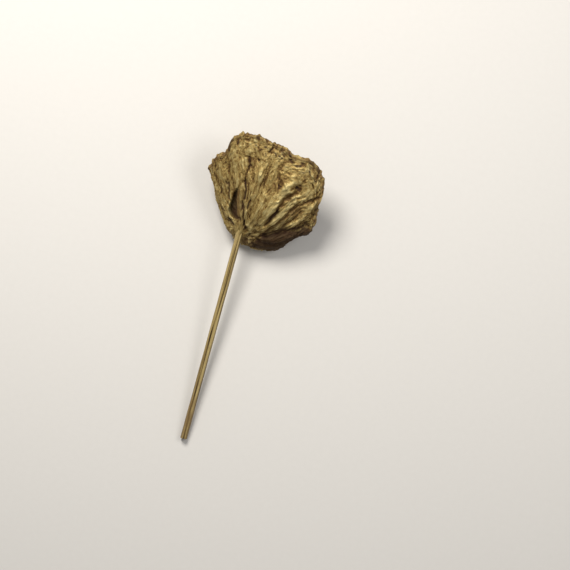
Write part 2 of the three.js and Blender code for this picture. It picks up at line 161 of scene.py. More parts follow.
def ripple(around: Array, along: Array, cells: tuple[int, float], seed: float) -> Array:
    """Gradient noise, roughly between -1 and 1, that closes on itself around the pod.

    Each lattice corner has a slope whose direction is a hash of its place, and the four
    slopes round a point are blended by 6t⁵ - 15t⁴ + 10t³.

    Args:
        around: share of a turn, wrapping at 1.
        along: distance along, in any unit.
        cells: cells in one turn and cells per unit along.
        seed: picks another pattern.

    Returns:
        The noise, as an array of the inputs' shape.
    """
    x, y = np.broadcast_arrays(around * cells[0], along * cells[1])
    column, row = np.floor(x), np.floor(y)
    fx, fy = x - column, y - row

    def corner(i: int, j: int) -> Array:
        """The slope of one corner at the point.

        Args:
            i: 0 for the corner before the point round the pod, 1 for the one after it.
            j: the same along the pod.

        Returns:
            What the corner's slope rises to at the point.
        """
        place = np.mod(column + i, cells[0]) * HASH_FACTORS[0]
        place = place + (row + j) * HASH_FACTORS[1] + seed * HASH_FACTORS[2]
        raw = np.sin(place) * HASH_SCALE
        turn = 2 * np.pi * (raw - np.floor(raw))
        return np.cos(turn) * (fx - i) + np.sin(turn) * (fy - j)

    bx, by = (t * t * t * (t * (6 * t - 15) + 10) for t in (fx, fy))
    near = corner(0, 0) * (1 - bx) + corner(1, 0) * bx
    far = corner(0, 1) * (1 - bx) + corner(1, 1) * bx
    return 1.5 * (near * (1 - by) + far * by)


def lines(noise: Array, width: float) -> Array:
    """Thin lines of height 1 where the noise crosses zero: exp(-|noise| / width)."""
    return np.exp(-np.abs(noise) / width)


def scatter(index: float) -> float:
    """A repeatable number between -1 and 1 for a whole number."""
    value = math.sin(index * HASH_FACTORS[0]) * HASH_SCALE
    return 2.0 * (value - math.floor(value)) - 1.0


def blurred(values: Array, half: int) -> Array:
    """Mean over a square window, which wraps around the columns and stops at the ends.

    Args:
        values: heights on a grid of columns by rows.
        half: half the window, in columns and in rows.

    Returns:
        The mean heights.
    """
    window = 2 * half + 1
    wrapped = np.concatenate([values[-half:], values, values[:half]], axis=0)
    total = np.cumsum(np.pad(wrapped, ((1, 0), (0, 0))), axis=0)
    mean = (total[window:] - total[:-window]) / window
    padded = np.pad(mean, ((0, 0), (half, half)), mode="edge")
    total = np.cumsum(np.pad(padded, ((0, 0), (1, 0))), axis=1)
    return (total[:, window:] - total[:, :-window]) / window


# Meshes


@dataclass(frozen=True)
class Grid:
    """Angles round a piece by places along it, columns first."""

    angle: Array
    along: Array

    @classmethod
    def of(cls, angles: Array, places: Array) -> "Grid":
        """Cross a row of angles with a row of places along."""
        return cls(*np.meshgrid(angles, places, indexing="ij"))


def pod_to_row(points: Array) -> Array:
    """Turn points of the pod's axes about the joint and move them into the row's frame.

    Args:
        points: points in the pod's axes, millimetres.

    Returns:
        The points in the row's frame.
    """
    c, s = math.cos(POD_TURN), math.sin(POD_TURN)
    x = points[..., 0] * c - points[..., 1] * s + JOINT[0]
    y = points[..., 0] * s + points[..., 1] * c + JOINT[1]
    return np.stack([x, y, points[..., 2]], axis=-1)


def joined(parts: Sequence[Marks]) -> Marks:
    """Join the marks of grids that follow one another along a piece."""
    return {name: np.concatenate([part[name] for part in parts], axis=1) for name in parts[0]}


@dataclass
class Skin:
    """A closed surface over a grid of columns by rows, with a pole at each end."""

    points: Array
    start: Array
    end: Array
    marks: Marks = field(default_factory=dict)

    def faces(self) -> list[tuple[int, ...]]:
        """Quads between the rings and a fan of triangles round each pole.

        Returns:
            The numbers of each face's points, where the two poles come last.
        """
        columns, rows = self.points.shape[:2]
        index = np.arange(columns * rows).reshape(columns, rows)
        after = np.roll(index, -1, axis=0)
        quads = np.stack(
            [index[:, :-1], index[:, 1:], after[:, 1:], after[:, :-1]], axis=-1
        ).reshape(-1, 4)
        first, last = columns * rows, columns * rows + 1
        fans = [(first, a, b) for a, b in zip(index[:, 0].tolist(), after[:, 0].tolist())]
        fans += [(last, b, a) for a, b in zip(index[:, -1].tolist(), after[:, -1].tolist())]
        return list(map(tuple, quads.tolist())) + fans

    def build(self, name: str) -> bpy.types.Object:
        """Make the mesh object, smooth, with one point attribute for each mark.

        A pole's mark is the mean of the ring next to it.

        Args:
            name: the object's name.

        Returns:
            The object, at the origin, linked to the scene.
        """
        flat = np.concatenate([self.points.reshape(-1, 3), [self.start], [self.end]])
        mesh = bpy.data.meshes.new(name)
        mesh.from_pydata((flat * MM).tolist(), [], self.faces())
        mesh.polygons.foreach_set("use_smooth", np.ones(len(mesh.polygons), dtype=bool))
        for mark, values in self.marks.items():
            kind, key, width = "FLOAT", "value", 1
            if values.ndim == 3:
                kind, key, width = "FLOAT_VECTOR", "vector", 3
            first = values[:, 0].mean(axis=0).reshape(1, width)
            last = values[:, -1].mean(axis=0).reshape(1, width)
            spread = np.concatenate([values.reshape(-1, width), first, last])
            attribute = mesh.attributes.new(mark, kind, "POINT")
            attribute.data.foreach_set(key, spread.astype(np.float32).ravel())
        mesh.update()
        piece = bpy.data.objects.new(name, mesh)
        bpy.context.scene.collection.objects.link(piece)
        return piece


def dress(
    piece: bpy.types.Object, node: str, material: bpy.types.Material
) -> bpy.types.Object:
    """Let a piece stand for its CAD node.

    Args:
        piece: the finished object.
        node: the CAD node that it replaces.
        material: its finish.

    Returns:
        The same object.
    """
    piece.data.materials.append(material)
    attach(piece, "root")
    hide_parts(node)
    LOG.info("%s: %d faces for node %s", piece.name, len(piece.data.polygons), node)
    return piece


# Shader maths


class Value:
    """A shader socket that can be used in Python expressions."""

    def __init__(self, shader: "Shader", socket: bpy.types.NodeSocket) -> None:
        """Hold the socket and the shader that it belongs to."""
        self.shader = shader
        self.socket = socket

    def _math(self, operation: str, *others: "Value | float") -> "Value":
        """Add a Math node on this value and the others."""
        return self.shader.math(operation, self, *others)

    def __add__(self, other: "Value | float") -> "Value":
        """self + other."""
        return self._math("ADD", other)

    def __radd__(self, other: float) -> "Value":
        """other + self."""
        return self._math("ADD", other)

    def __sub__(self, other: "Value | float") -> "Value":
        """self - other."""
        return self._math("SUBTRACT", other)

    def __rsub__(self, other: float) -> "Value":
        """other - self."""
        return self.shader.math("SUBTRACT", other, self)

    def __mul__(self, other: "Value | float") -> "Value":
        """self * other."""
        return self._math("MULTIPLY", other)

    def between(self, low: float, high: float) -> "Value":
        """Rise smoothly from 0 where this is low to 1 where it is high."""
        return self.shader.smooth(self, low, high)


# The Mix node has sockets for each kind of data, and these are the ones for colours
MIX_SHARE = 0
MIX_FIRST = 6
MIX_SECOND = 7
MIX_RESULT = 2


class Shader:
    """A material's node tree, written as expressions."""

    def __init__(self, name: str) -> None:
        """Start a material with only its Principled shader and its output."""
        self.material = bpy.data.materials.new(name)
        self.material.use_nodes = True
        self.tree = self.material.node_tree
        self.tree.nodes.clear()
        output = self.tree.nodes.new("ShaderNodeOutputMaterial")
        self.surface = self.tree.nodes.new("ShaderNodeBsdfPrincipled")
        self.tree.links.new(self.surface.outputs[0], output.inputs["Surface"])

    def _feed(self, inlet: bpy.types.NodeSocket, given: object) -> None:
        """Link an input to a Value or a socket, or set it to a number or a colour.

        Args:
            inlet: the input.
            given: what it gets; a colour is made opaque.
        """
        source = given.socket if isinstance(given, Value) else given
        if isinstance(source, bpy.types.NodeSocket):
            self.tree.links.new(source, inlet)
        elif inlet.type == "RGBA":
            inlet.default_value = (*source, 1.0)
        else:
            inlet.default_value = source

    def node(
        self, kind: str, settings: dict[str, object], inputs: dict[str | int, object]
    ) -> bpy.types.Node:
        """Add a node.

        Args:
            kind: the node's type name.
            settings: its properties, set first.
            inputs: a value, a Value or a socket for each input.

        Returns:
            The node.
        """
        made = self.tree.nodes.new(kind)
        for key, setting in settings.items():
            setattr(made, key, setting)
        for key, given in inputs.items():
            self._feed(made.inputs[key], given)
        return made

    def math(self, operation: str, *terms: "Value | float") -> Value:
        """Add a Math node on one to three terms."""
        made = self.node("ShaderNodeMath", {"operation": operation}, dict(enumerate(terms)))
        return Value(self, made.outputs[0])

    def smooth(self, value: Value, low: float, high: float) -> Value:
        """Map value from low..high to 0..1 by smoothstep."""
        made = self.node(
            "ShaderNodeMapRange",
            {"interpolation_type": "SMOOTHSTEP"},
            {"Value": value, "From Min": low, "From Max": high},
        )
        return Value(self, made.outputs[0])

    def mark(self, name: str) -> Value:
        """Read a number stored on the mesh's points."""
        made = self.node("ShaderNodeAttribute", {"attribute_name": name}, {})
        return Value(self, made.outputs["Fac"])

    def mark_vector(self, name: str) -> bpy.types.NodeSocket:
        """Read a vector stored on the mesh's points."""
        made = self.node("ShaderNodeAttribute", {"attribute_name": name}, {})
        return made.outputs["Vector"]

    def object_place(self) -> bpy.types.NodeSocket:
        """The point's place in the object's own space, in metres."""
        return self.node("ShaderNodeTexCoord", {}, {}).outputs["Object"]

    def stretched(self, place: bpy.types.NodeSocket, by: Colour) -> bpy.types.NodeSocket:
        """Multiply a place by three factors, so a pattern read there is drawn out."""
        made = self.node("ShaderNodeVectorMath", {"operation": "MULTIPLY"}, {0: place, 1: by})
        return made.outputs["Vector"]

    def noise(
        self, place: bpy.types.NodeSocket, scale: float, detail: float = 3.0, rough: float = 0.55
    ) -> Value:
        """Fractal noise, about 0.5 on average.

        Args:
            place: where it is read.
            scale: cells in one unit of the place.
            detail: how many finer octaves it has.
            rough: how strong each finer octave is.

        Returns:
            The noise.
        """
        made = self.node(
            "ShaderNodeTexNoise",
            {},
            {"Vector": place, "Scale": scale, "Detail": detail, "Roughness": rough},
        )
        return Value(self, made.outputs["Fac"])

    def ramp(self, value: Value, stops: Sequence[tuple[float, Colour]]) -> bpy.types.NodeSocket:
        """Colour a value by straight blends between stops.

        Args:
            value: what picks the colour.
            stops: positions, rising, each with its colour.

        Returns:
            The colour's socket.
        """
        made = self.node("ShaderNodeValToRGB", {}, {0: value})
        elements = made.color_ramp.elements
        while len(elements) > 1:
            elements.remove(elements[-1])
        elements[0].position = stops[0][0]
        elements[0].color = (*stops[0][1], 1.0)
        for position, colour in stops[1:]:
            elements.new(position).color = (*colour, 1.0)
        return made.outputs["Color"]

    def mix(
        self,
        share: Value | float,
        first: "Colour | bpy.types.NodeSocket",
        second: "Colour | bpy.types.NodeSocket",
    ) -> bpy.types.NodeSocket:
        """Mix two colours.

        Args:
            share: how much of the second shows.
            first: the colour beneath.
            second: the colour on top.

        Returns:
            The mixed colour's socket.
        """
        made = self.node(
            "ShaderNodeMix",
            {"data_type": "RGBA", "clamp_factor": True},
            {MIX_SHARE: share, MIX_FIRST: first, MIX_SECOND: second},
        )
        return made.outputs[MIX_RESULT]

    def finish(
        self,
        colour: bpy.types.NodeSocket,
        roughness: Value | float,
        metallic: Value | float,
        height: Value | None = None,
        depth: float = 0.0,
    ) -> bpy.types.Material:
        """Connect the surface.

        Args:
            colour: the base colour.
            roughness: the roughness.
            metallic: how metallic it is.
            height: bump height in 0..1, or None for none.
            depth: the bump's depth in millimetres.

        Returns:
            The finished material.
        """
        inlets = self.surface.inputs
        self._feed(inlets["Base Color"], colour)
        self._feed(inlets["Roughness"], roughness)
        self._feed(inlets["Metallic"], metallic)
        if height is not None:
            settings = {"Strength": 1.0, "Distance": depth * MM, "Height": height}
            made = self.node("ShaderNodeBump", {}, settings)
            self._feed(inlets["Normal"], made.outputs["Normal"])
        return self.material


# Finishes


@dataclass(frozen=True)
class GoldPaint:
    """Dull gold spray paint over dried brown tissue.

    The scales are in cells a metre, and relief is in millimetres.
    """

    name: str = "pod gold paint"
    # deep is the near black of painted shade and of the rim's real dark nodules, brown is also the
    # brown painted shade, and bright is the painted highlight on the ridges
    deep: Colour = (0.031, 0.0115, 0.003)
    brown: Colour = (0.125, 0.067, 0.016)
    gold: Colour = (0.295, 0.203, 0.065)
    bright: Colour = (0.430, 0.342, 0.148)
    bare: Colour = (0.135, 0.075, 0.030)
    straw: Colour = (0.255, 0.180, 0.070)
    metallic: float = 0.45
    roughness: float = 0.54
    gloss: float = 0.25
    patch_scale: float = 190.0
    speck_scale: float = 1300.0
    grain_scale: float = 3200.0
    relief: float = 0.7

    def make(self) -> bpy.types.Material:
        """Paint with painted shade in its creases, painted highlight on its ridges, and patches
        where it is missing.

        A weighted sum of the shading mark and five noises picks the paint's tone, which is
        painted shade in the grooves and painted highlight on the ridges. Bare tissue, bright
        flecks, brown painted shade and near black painted shade, which also carries the rim's
        real dark blotches, are laid over it in that order.

        Returns:
            The material, which reads the marks crease, stain, umber, bare and fibre.
        """
        shader = Shader(self.name)
        place = shader.object_place()
        crease = shader.mark("crease")
        stain = shader.mark("stain")
        umber = shader.mark("umber")
        bare = shader.mark("bare")
        fibre = shader.mark_vector("fibre")
        strands = shader.noise(fibre, 1.0, 5.0, 0.62)
        bands = shader.noise(fibre, 0.3, 2.0, 0.5)
        mottle = shader.noise(shader.stretched(fibre, (1.0, 1.0, 3.2)), 0.75, 4.0, 0.66)
        patches = shader.noise(place, self.patch_scale, 4.0, 0.6)
        specks = shader.noise(place, self.speck_scale, 3.0, 0.7)
        grains = shader.noise(place, self.grain_scale, 2.0, 0.6)
        # The shading mark paints shade into the grooves and highlight onto the ridges
        light = crease * 0.75 + strands.between(0.32, 0.68) * 0.20
        light = light + bands.between(0.35, 0.65) * 0.12 + mottle.between(0.36, 0.64) * 0.26
        light = light + specks.between(0.3, 0.7) * 0.20 + grains.between(0.35, 0.65) * 0.10
        colour = shader.ramp(
            light - 0.40,
            ((0.04, self.deep), (0.22, self.brown), (0.44, self.gold), (0.76, self.bright)),
        )
        missing = (bare + (patches - 0.5) * 0.9 + (specks - 0.5) * 0.8).between(0.42, 0.72)
        tissue = shader.mix(strands.between(0.35, 0.7), self.bare, self.straw)
        colour = shader.mix(missing * 0.85, colour, tissue)
        flecks = grains.between(0.60, 0.72) * crease.between(0.35, 0.6)
        colour = shader.mix(flecks * 0.5, colour, self.bright)
        # Brown painted shade, then near black painted shade that also carries the rim's real dark
        # nodules
        browned_shade = (umber * (0.55 + mottle)).between(0.15, 0.9)
        colour = shader.mix(browned_shade * 0.82, colour, self.brown)
        dark = (stain + (specks - 0.5) * 0.5 * stain).between(0.12, 0.95)
        colour = shader.mix(dark * 0.95, colour, self.deep)
        rough = self.roughness + missing * 0.3 + dark * 0.2 - flecks * 0.12
        dulled = (missing + browned_shade * 0.5 + dark * 0.8).between(0.0, 1.0)
        shader.surface.inputs["Specular IOR Level"].default_value = self.gloss
        return shader.finish(
            colour,
            rough + (patches - 0.5) * 0.2,
            self.metallic - dulled * self.metallic,
            strands * 0.35 + mottle * 0.40 + specks * 0.20 + grains * 0.05,
            self.relief,
        )


@dataclass(frozen=True)
class StemPaint:
    """Thin gold paint over a ribbed straw-coloured stem, browner towards its cut end.

    The scales are in cells a metre, and relief is in millimetres.
    """

    name: str = "stem gold paint"
    # dark is mostly the painted shade of the groove and flutes, and pale mostly the painted
    # highlight of the ribs and the strip beside the groove
    dark: Colour = (0.042, 0.023, 0.010)
    straw: Colour = (0.370, 0.262, 0.096)
    pale: Colour = (0.620, 0.480, 0.210)
    brown: Colour = (0.150, 0.082, 0.028)
    pith: Colour = (0.300, 0.235, 0.150)
    metallic: float = 0.70
    roughness: float = 0.46
    patch_scale: float = 120.0
    speck_scale: float = 1800.0
    relief: float = 0.3

    def make(self) -> bpy.types.Material:
        """Long streaks that follow the stem, with worn brown patches.

        The shading mark, which is painted shade in the groove and flutes and painted highlight
        on the ribs and beside the groove, plus streaks and specks picks the tone. Brown is laid
        where the distance along plus patchy noise is high, and pith over the cut end.

        Returns:
            The material, which reads the marks crease, along, bare and fibre.
        """
        shader = Shader(self.name)
        place = shader.object_place()
        crease = shader.mark("crease")
        along = shader.mark("along")
        end = shader.mark("bare")
        fibre = shader.mark_vector("fibre")
        streaks = shader.noise(fibre, 1.0, 4.0, 0.6)
        patches = shader.noise(place, self.patch_scale, 3.0, 0.5)
        specks = shader.noise(place, self.speck_scale, 3.0, 0.65)
        light = crease + streaks.between(0.3, 0.7) * 0.35 + specks * 0.2 - 0.28
        tone = shader.ramp(light, ((0.08, self.dark), (0.45, self.straw), (0.80, self.pale)))
        worn = (along * 0.75 + patches * 0.8 - 0.62).between(0.2, 0.62)
        colour = shader.mix(worn * 0.7, tone, self.brown)
        colour = shader.mix(end, colour, self.pith)
        return shader.finish(
            colour,
            self.roughness + (specks - 0.5) * 0.3,
            self.metallic - worn * 0.3,
            streaks * 0.6 + specks * 0.4,
            self.relief,
        )


@dataclass(frozen=True)
class SeedShell:
    """Dark brown seed shell with gold dust on the end that stands in the open.

    The scales are in cells a metre, and relief is in millimetres.
    """

    name: str = "seed shell"
    dark: Colour = (0.022, 0.013, 0.006)
    brown: Colour = (0.085, 0.048, 0.020)
    gold: Colour = (0.330, 0.235, 0.085)
    roughness: float = 0.40
    mottle_scale: float = 420.0
    speck_scale: float = 2400.0
    relief: float = 0.2

    def make(self) -> bpy.types.Material:
        """Mottled brown under a scatter of paint that thins down the sides.

        Returns:
            The material, which reads the mark along.
        """
        shader = Shader(self.name)
        place = shader.object_place()
        along = shader.mark("along")
        mottle = shader.noise(place, self.mottle_scale, 4.0, 0.6)
        specks = shader.noise(place, self.speck_scale, 3.0, 0.7)
        shell = shader.mix(mottle.between(0.35, 0.65), self.dark, self.brown)
        dust = (along.between(0.72, 1.0) * 0.50 + specks * 0.8 - 0.50).between(0.05, 0.3)
        return shader.finish(
            shader.mix(dust * 0.8, shell, self.gold),
            self.roughness + dust * 0.12,
            dust * 0.4,
            mottle * 0.5 + specks * 0.5,
            self.relief,
        )


# The pod's folds and grain

# A step of one degree at the rim, and of one whole station, in millimetres
MM_PER_DEGREE = 0.55
MM_PER_STATION = 55.0


class Edge(Enum):
    """How a fold's sides fall away from its middle."""

    ROUND = 2.0
    SHARP = 1.2


@dataclass(frozen=True)
class Fold:
    """A groove (height below zero) or ridge along a path of (degrees, station).

    Height and width are in millimetres. The last two numbers say how dark and how brown the
    painted shade in a groove's bed is, from 0 to 1.
    """

    height: float
    width: float
    path: Pairs
    stain: float = 0.0
    umber: float = 0.0

    def edge(self) -> Edge:
        """Grooves are sharp and ridges are round."""
        return Edge.SHARP if self.height < 0 else Edge.ROUND

    def shape(self, degrees: Array, at: Array) -> Array:
        """The fold's outline, 1 on its path and fading towards the path's two ends.

        A degree counts for less towards the joint, and each stretch's nearest point is
        its clamped projection. The outline is exp(-(distance / width)^edge) times the
        fade at that point, and the fold is narrower near the joint.

        Args:
            degrees: degrees round the pod.
            at: station.

        Returns:
            The outline, 0 to 1.
        """
        scale = MM_PER_DEGREE * np.maximum(at, 0.12)
        best = np.full(degrees.shape, np.inf)
        place = np.zeros(degrees.shape)
        for k, ((d0, s0), (d1, s1)) in enumerate(zip(self.path[:-1], self.path[1:])):
            span_x, span_y = (d1 - d0) * scale, (s1 - s0) * MM_PER_STATION
            x, y = (degrees - d0) * scale, (at - s0) * MM_PER_STATION
            share = np.clip((x * span_x + y * span_y) / (span_x**2 + span_y**2), 0, 1)
            away = np.hypot(x - span_x * share, y - span_y * share)
            place = np.where(away < best, k + share, place)
            best = np.minimum(best, away)
        end = np.minimum(place, len(self.path) - 1 - place)
        fade = 0.45 + 0.55 * smoothstep(end, 0.0, 0.5)
        width = self.width * np.clip(at / 0.35, 0.45, 1.0)
        return fade * np.exp(-((best / width) ** self.edge().value))


# Grooves and cracks, each with the dark and the brown of the painted shade in its bed
CRACKS: tuple[Fold, ...] = (
    Fold(-1.9, 0.9, ((122, 0.77), (121, 0.69), (119, 0.65), (120, 0.60)), 0.9),
    Fold(-1.2, 0.48, ((120, 0.60), (122, 0.57), (123, 0.52)), 0.5),
    Fold(-1.4, 0.8, ((123, 0.52), (124, 0.48), (129, 0.47)), 0.75),
    Fold(-0.8, 0.5, ((133, 0.45), (137, 0.43)), 0.35, 0.5),
    Fold(-1.7, 1.0, ((124, 0.48), (123, 0.44), (120, 0.40), (121, 0.34), (122, 0.30)), 1.0),
    Fold(-1.5, 1.0, ((128, 0.31), (125, 0.26), (127, 0.20)), 1.0),
    Fold(-2.2, 1.3, ((120, 0.27), (115, 0.21), (111, 0.15), (94, 0.11), (75, 0.03)), 1.0),
    Fold(-1.6, 1.6, ((72, 0.06), (48, 0.02)), 1.0),
    Fold(-1.7, 0.8, ((101, 0.34), (101, 0.30), (101, 0.27), (100, 0.24)), 1.0),
    Fold(-0.8, 0.48, ((86, 0.23), (82, 0.18), (76, 0.16)), 0.5),
    Fold(-1.3, 0.8, ((159, 0.61), (156, 0.53), (158, 0.46), (161, 0.40)), 0.85),
    Fold(-1.5, 1.1, ((170, 0.60), (171, 0.54)), 1.0),
    Fold(-1.9, 1.3, ((177, 0.27), (173, 0.21), (172, 0.16), (168, 0.10)), 1.0),
    Fold(-1.5, 1.4, ((144, 0.14), (132, 0.14), (119, 0.09)), 0.9),
    Fold(-2.2, 0.6, ((55, 0.38), (54, 0.35), (49, 0.27), (44, 0.20)), 1.0),
    Fold(-0.8, 1.1, ((55, 0.63), (56, 0.58), (59, 0.54), (58, 0.46), (56, 0.40)), 0.0, 0.8),
    Fold(-0.8, 2.2, ((56, 0.56), (58, 0.50)), 0.15, 0.9),
    Fold(-2.0, 1.2, ((58, 0.64), (58, 0.66), (57, 0.68)), 1.0),
    Fold(-1.0, 0.7, ((57, 0.69), (56, 0.73)), 0.9),
    Fold(-1.2, 0.64, ((50, 0.86), (47, 0.83), (44, 0.82)), 0.6),
    Fold(-1.8, 0.9, ((32, 1.0), (36, 0.76), (40, 0.62), (42, 0.54), (42, 0.45), (38, 0.36),
                     (37, 0.29), (34, 0.24), (20, 0.17)), 0.35, 0.85),
    Fold(-1.0, 2.2, ((35, 0.59), (38, 0.51), (36, 0.43)), 0.35, 0.95),
    Fold(-0.8, 1.6, ((20, 0.96), (22, 0.79)), 0.5, 0.8),
    Fold(-0.6, 1.6, ((30, 0.60), (32, 0.53)), 0.4, 0.8),
    Fold(-1.2, 0.7, ((30, 0.55), (30, 0.47), (29, 0.39), (22, 0.33), (21, 0.25)), 0.5, 0.7),
    Fold(-1.4, 1.5, ((2, 1.0), (12, 0.69), (10, 0.62), (14, 0.45), (18, 0.33), (20, 0.21),
                     (6, 0.12)), 0.8),
    Fold(-1.7, 0.64, ((98, 1.0), (99, 0.95), (99, 0.88)), 1.0),
    Fold(-1.0, 0.96, ((97, 1.0), (92, 0.97)), 0.7),
    Fold(-1.6, 1.1, ((78, 1.0), (76, 0.95), (74, 0.90)), 0.8),
    Fold(-0.8, 1.0, ((86, 1.0), (83, 0.93)), 0.3, 0.8),
    Fold(-1.0, 0.64, ((84, 0.95), (82, 0.99)), 0.7),
    Fold(-1.8, 1.1, ((111, 0.745), (108, 0.73)), 1.0),
    Fold(-0.9, 0.56, ((127, 0.73), (124, 0.74)), 0.9),
    Fold(-1.0, 1.2, ((125, 0.99), (124, 0.94)), 0.3, 0.8),
    Fold(-0.9, 0.64, ((134, 1.0), (133, 0.97)), 0.8),
    Fold(-0.8, 1.2, ((80, 0.92), (82, 0.77), (80, 0.66), (79, 0.57), (78, 0.50), (76, 0.42)),
         0.0, 0.55),
    Fold(-0.5, 1.0, ((91, 0.76), (92, 0.66), (90, 0.57), (88, 0.48)), 0.0, 0.4),
    Fold(-0.4, 2.6, ((101, 0.53), (94, 0.44)), 0.0, 0.45),
    Fold(-0.8, 1.0, ((67, 1.0), (66, 0.94)), 0.3, 0.8),
    Fold(-0.7, 0.8, ((51, 1.0), (50, 0.97)), 0.6),
    Fold(-0.5, 0.96, ((135, 0.73), (137, 0.62), (140, 0.55)), 0.25),
)

# Ridges, each of which also gets a painted highlight on the shading mark
RIDGES: tuple[Fold, ...] = (
    Fold(1.1, 0.6, ((50, 0.62), (53, 0.55), (54, 0.47), (52, 0.39), (50, 0.30), (45, 0.23))),
    Fold(1.1, 0.6, ((49, 0.56), (50, 0.49), (48, 0.40), (46, 0.33), (43, 0.26))),
    Fold(0.9, 0.6, ((60, 0.61), (62, 0.56), (63, 0.49), (63, 0.44), (62, 0.38), (60, 0.33),
                    (59, 0.29), (56, 0.23), (52, 0.18))),
    Fold(0.7, 0.6, ((66, 0.66), (68, 0.56), (69, 0.46), (68, 0.36), (65, 0.26))),
    Fold(0.8, 0.8, ((63, 0.71), (65, 0.63), (67, 0.57))),
    Fold(1.0, 0.7, ((37, 0.38), (34, 0.32), (30, 0.27))),
    Fold(1.3, 1.2, ((24, 0.61), (24, 0.55), (22, 0.48), (20, 0.42))),
    Fold(0.8, 1.2, ((17, 0.79), (19, 0.64))),
    Fold(0.6, 1.0, ((30, 1.0), (31, 0.77), (30, 0.67))),
    Fold(0.8, 1.6, ((101, 0.63), (100, 0.55))),
    Fold(0.9, 1.2, ((55, 0.93), (55, 0.90))),
    Fold(0.7, 0.8, ((165, 0.36), (166, 0.28), (163, 0.19))),
    Fold(2.2, 5.0, ((4, 1.0), (-4, 0.86), (-10, 0.70))),
    Fold(0.8, 1.3, ((92, 0.02), (84, 0.03))),
    Fold(0.7, 1.3, ((140, 0.02), (130, 0.03))),
    Fold(0.8, 1.2, ((190, 0.14), (192, 0.11))),
    Fold(0.8, 1.1, ((162, 0.18), (161, 0.14), (161, 0.10))),
    Fold(1.0, 1.6, ((29, 0.03), (42, 0.06), (52, 0.09), (57, 0.12))),
    Fold(0.9, 1.5, ((-22, 0.09), (-26, 0.07))),
    Fold(0.9, 1.4, ((-6, 0.08), (-10, 0.06))),
    Fold(0.9, 1.2, ((74, 0.12), (74, 0.09))),
)


class Zone(Enum):
    """The part of the wall that a layer of grain lies on."""

    GROWN = "the whole wall, fainter at the joint"
    CALMER = "the whole wall, also fainter near the rim"
    THREADS = "the whole wall, stronger at its lower right"
    LUMPS = "the joint's lower right"
    RIM = "patches next to the rim"
    UPPER = "the half next to the rim"


@dataclass(frozen=True)
class Layer:
    """One layer of grain, which is noise or the thin lines where noise crosses zero.

    Height is in millimetres. A line's width is a share of the noise's own height, and
    the noise itself is used where the width is zero.
    """

    zone: Zone
    height: float
    cells: tuple[int, float]
    seed: float
    line: float = 0.0

    def relief(self, flow: Array, at: Array) -> Array:
        """The layer's height along the fibres, before its zone weakens it."""
        noise = ripple(flow, at, self.cells, self.seed)
        return self.height * (lines(noise, self.line) if self.line else noise)


GRAIN: tuple[Layer, ...] = (
    Layer(Zone.GROWN, 0.30, (34, 3.5), 1.0),
    Layer(Zone.CALMER, -0.50, (30, 2.6), 2.0, line=0.05),
    Layer(Zone.CALMER, 0.42, (42, 3.4), 3.0, line=0.07),
    Layer(Zone.CALMER, -0.32, (84, 6.0), 4.0, line=0.09),
    Layer(Zone.CALMER, 0.30, (104, 7.0), 5.0, line=0.10),
    Layer(Zone.THREADS, 0.20, (130, 9.0), 6.0),
    Layer(Zone.THREADS, 0.16, (190, 17.0), 18.0),
    Layer(Zone.GROWN, 0.14, (230, 30.0), 13.0),
    Layer(Zone.LUMPS, 1.0, (24, 30.0), 7.0),
    Layer(Zone.LUMPS, 0.5, (52, 70.0), 17.0),
    Layer(Zone.RIM, 0.60, (76, 10.0), 8.0),
    Layer(Zone.RIM, -0.60, (66, 11.0), 9.0, line=0.09),
    Layer(Zone.RIM, 0.50, (150, 22.0), 10.0),
    Layer(Zone.UPPER, 0.16, (190, 30.0), 16.0),
)


# The pod


@dataclass(frozen=True)
class Station:
    """One section of the wall.

    It has its place along the wall, its half widths, the shift of its far side across,
    v and z at its side, top and far points, and the order of its superellipse on top.
    """

    at: float
    left: float
    right: float
    far_shift: float
    v_side: float
    v_top: float
    v_far: float
    z_side: float
    z_top: float
    z_far: float
    order: float


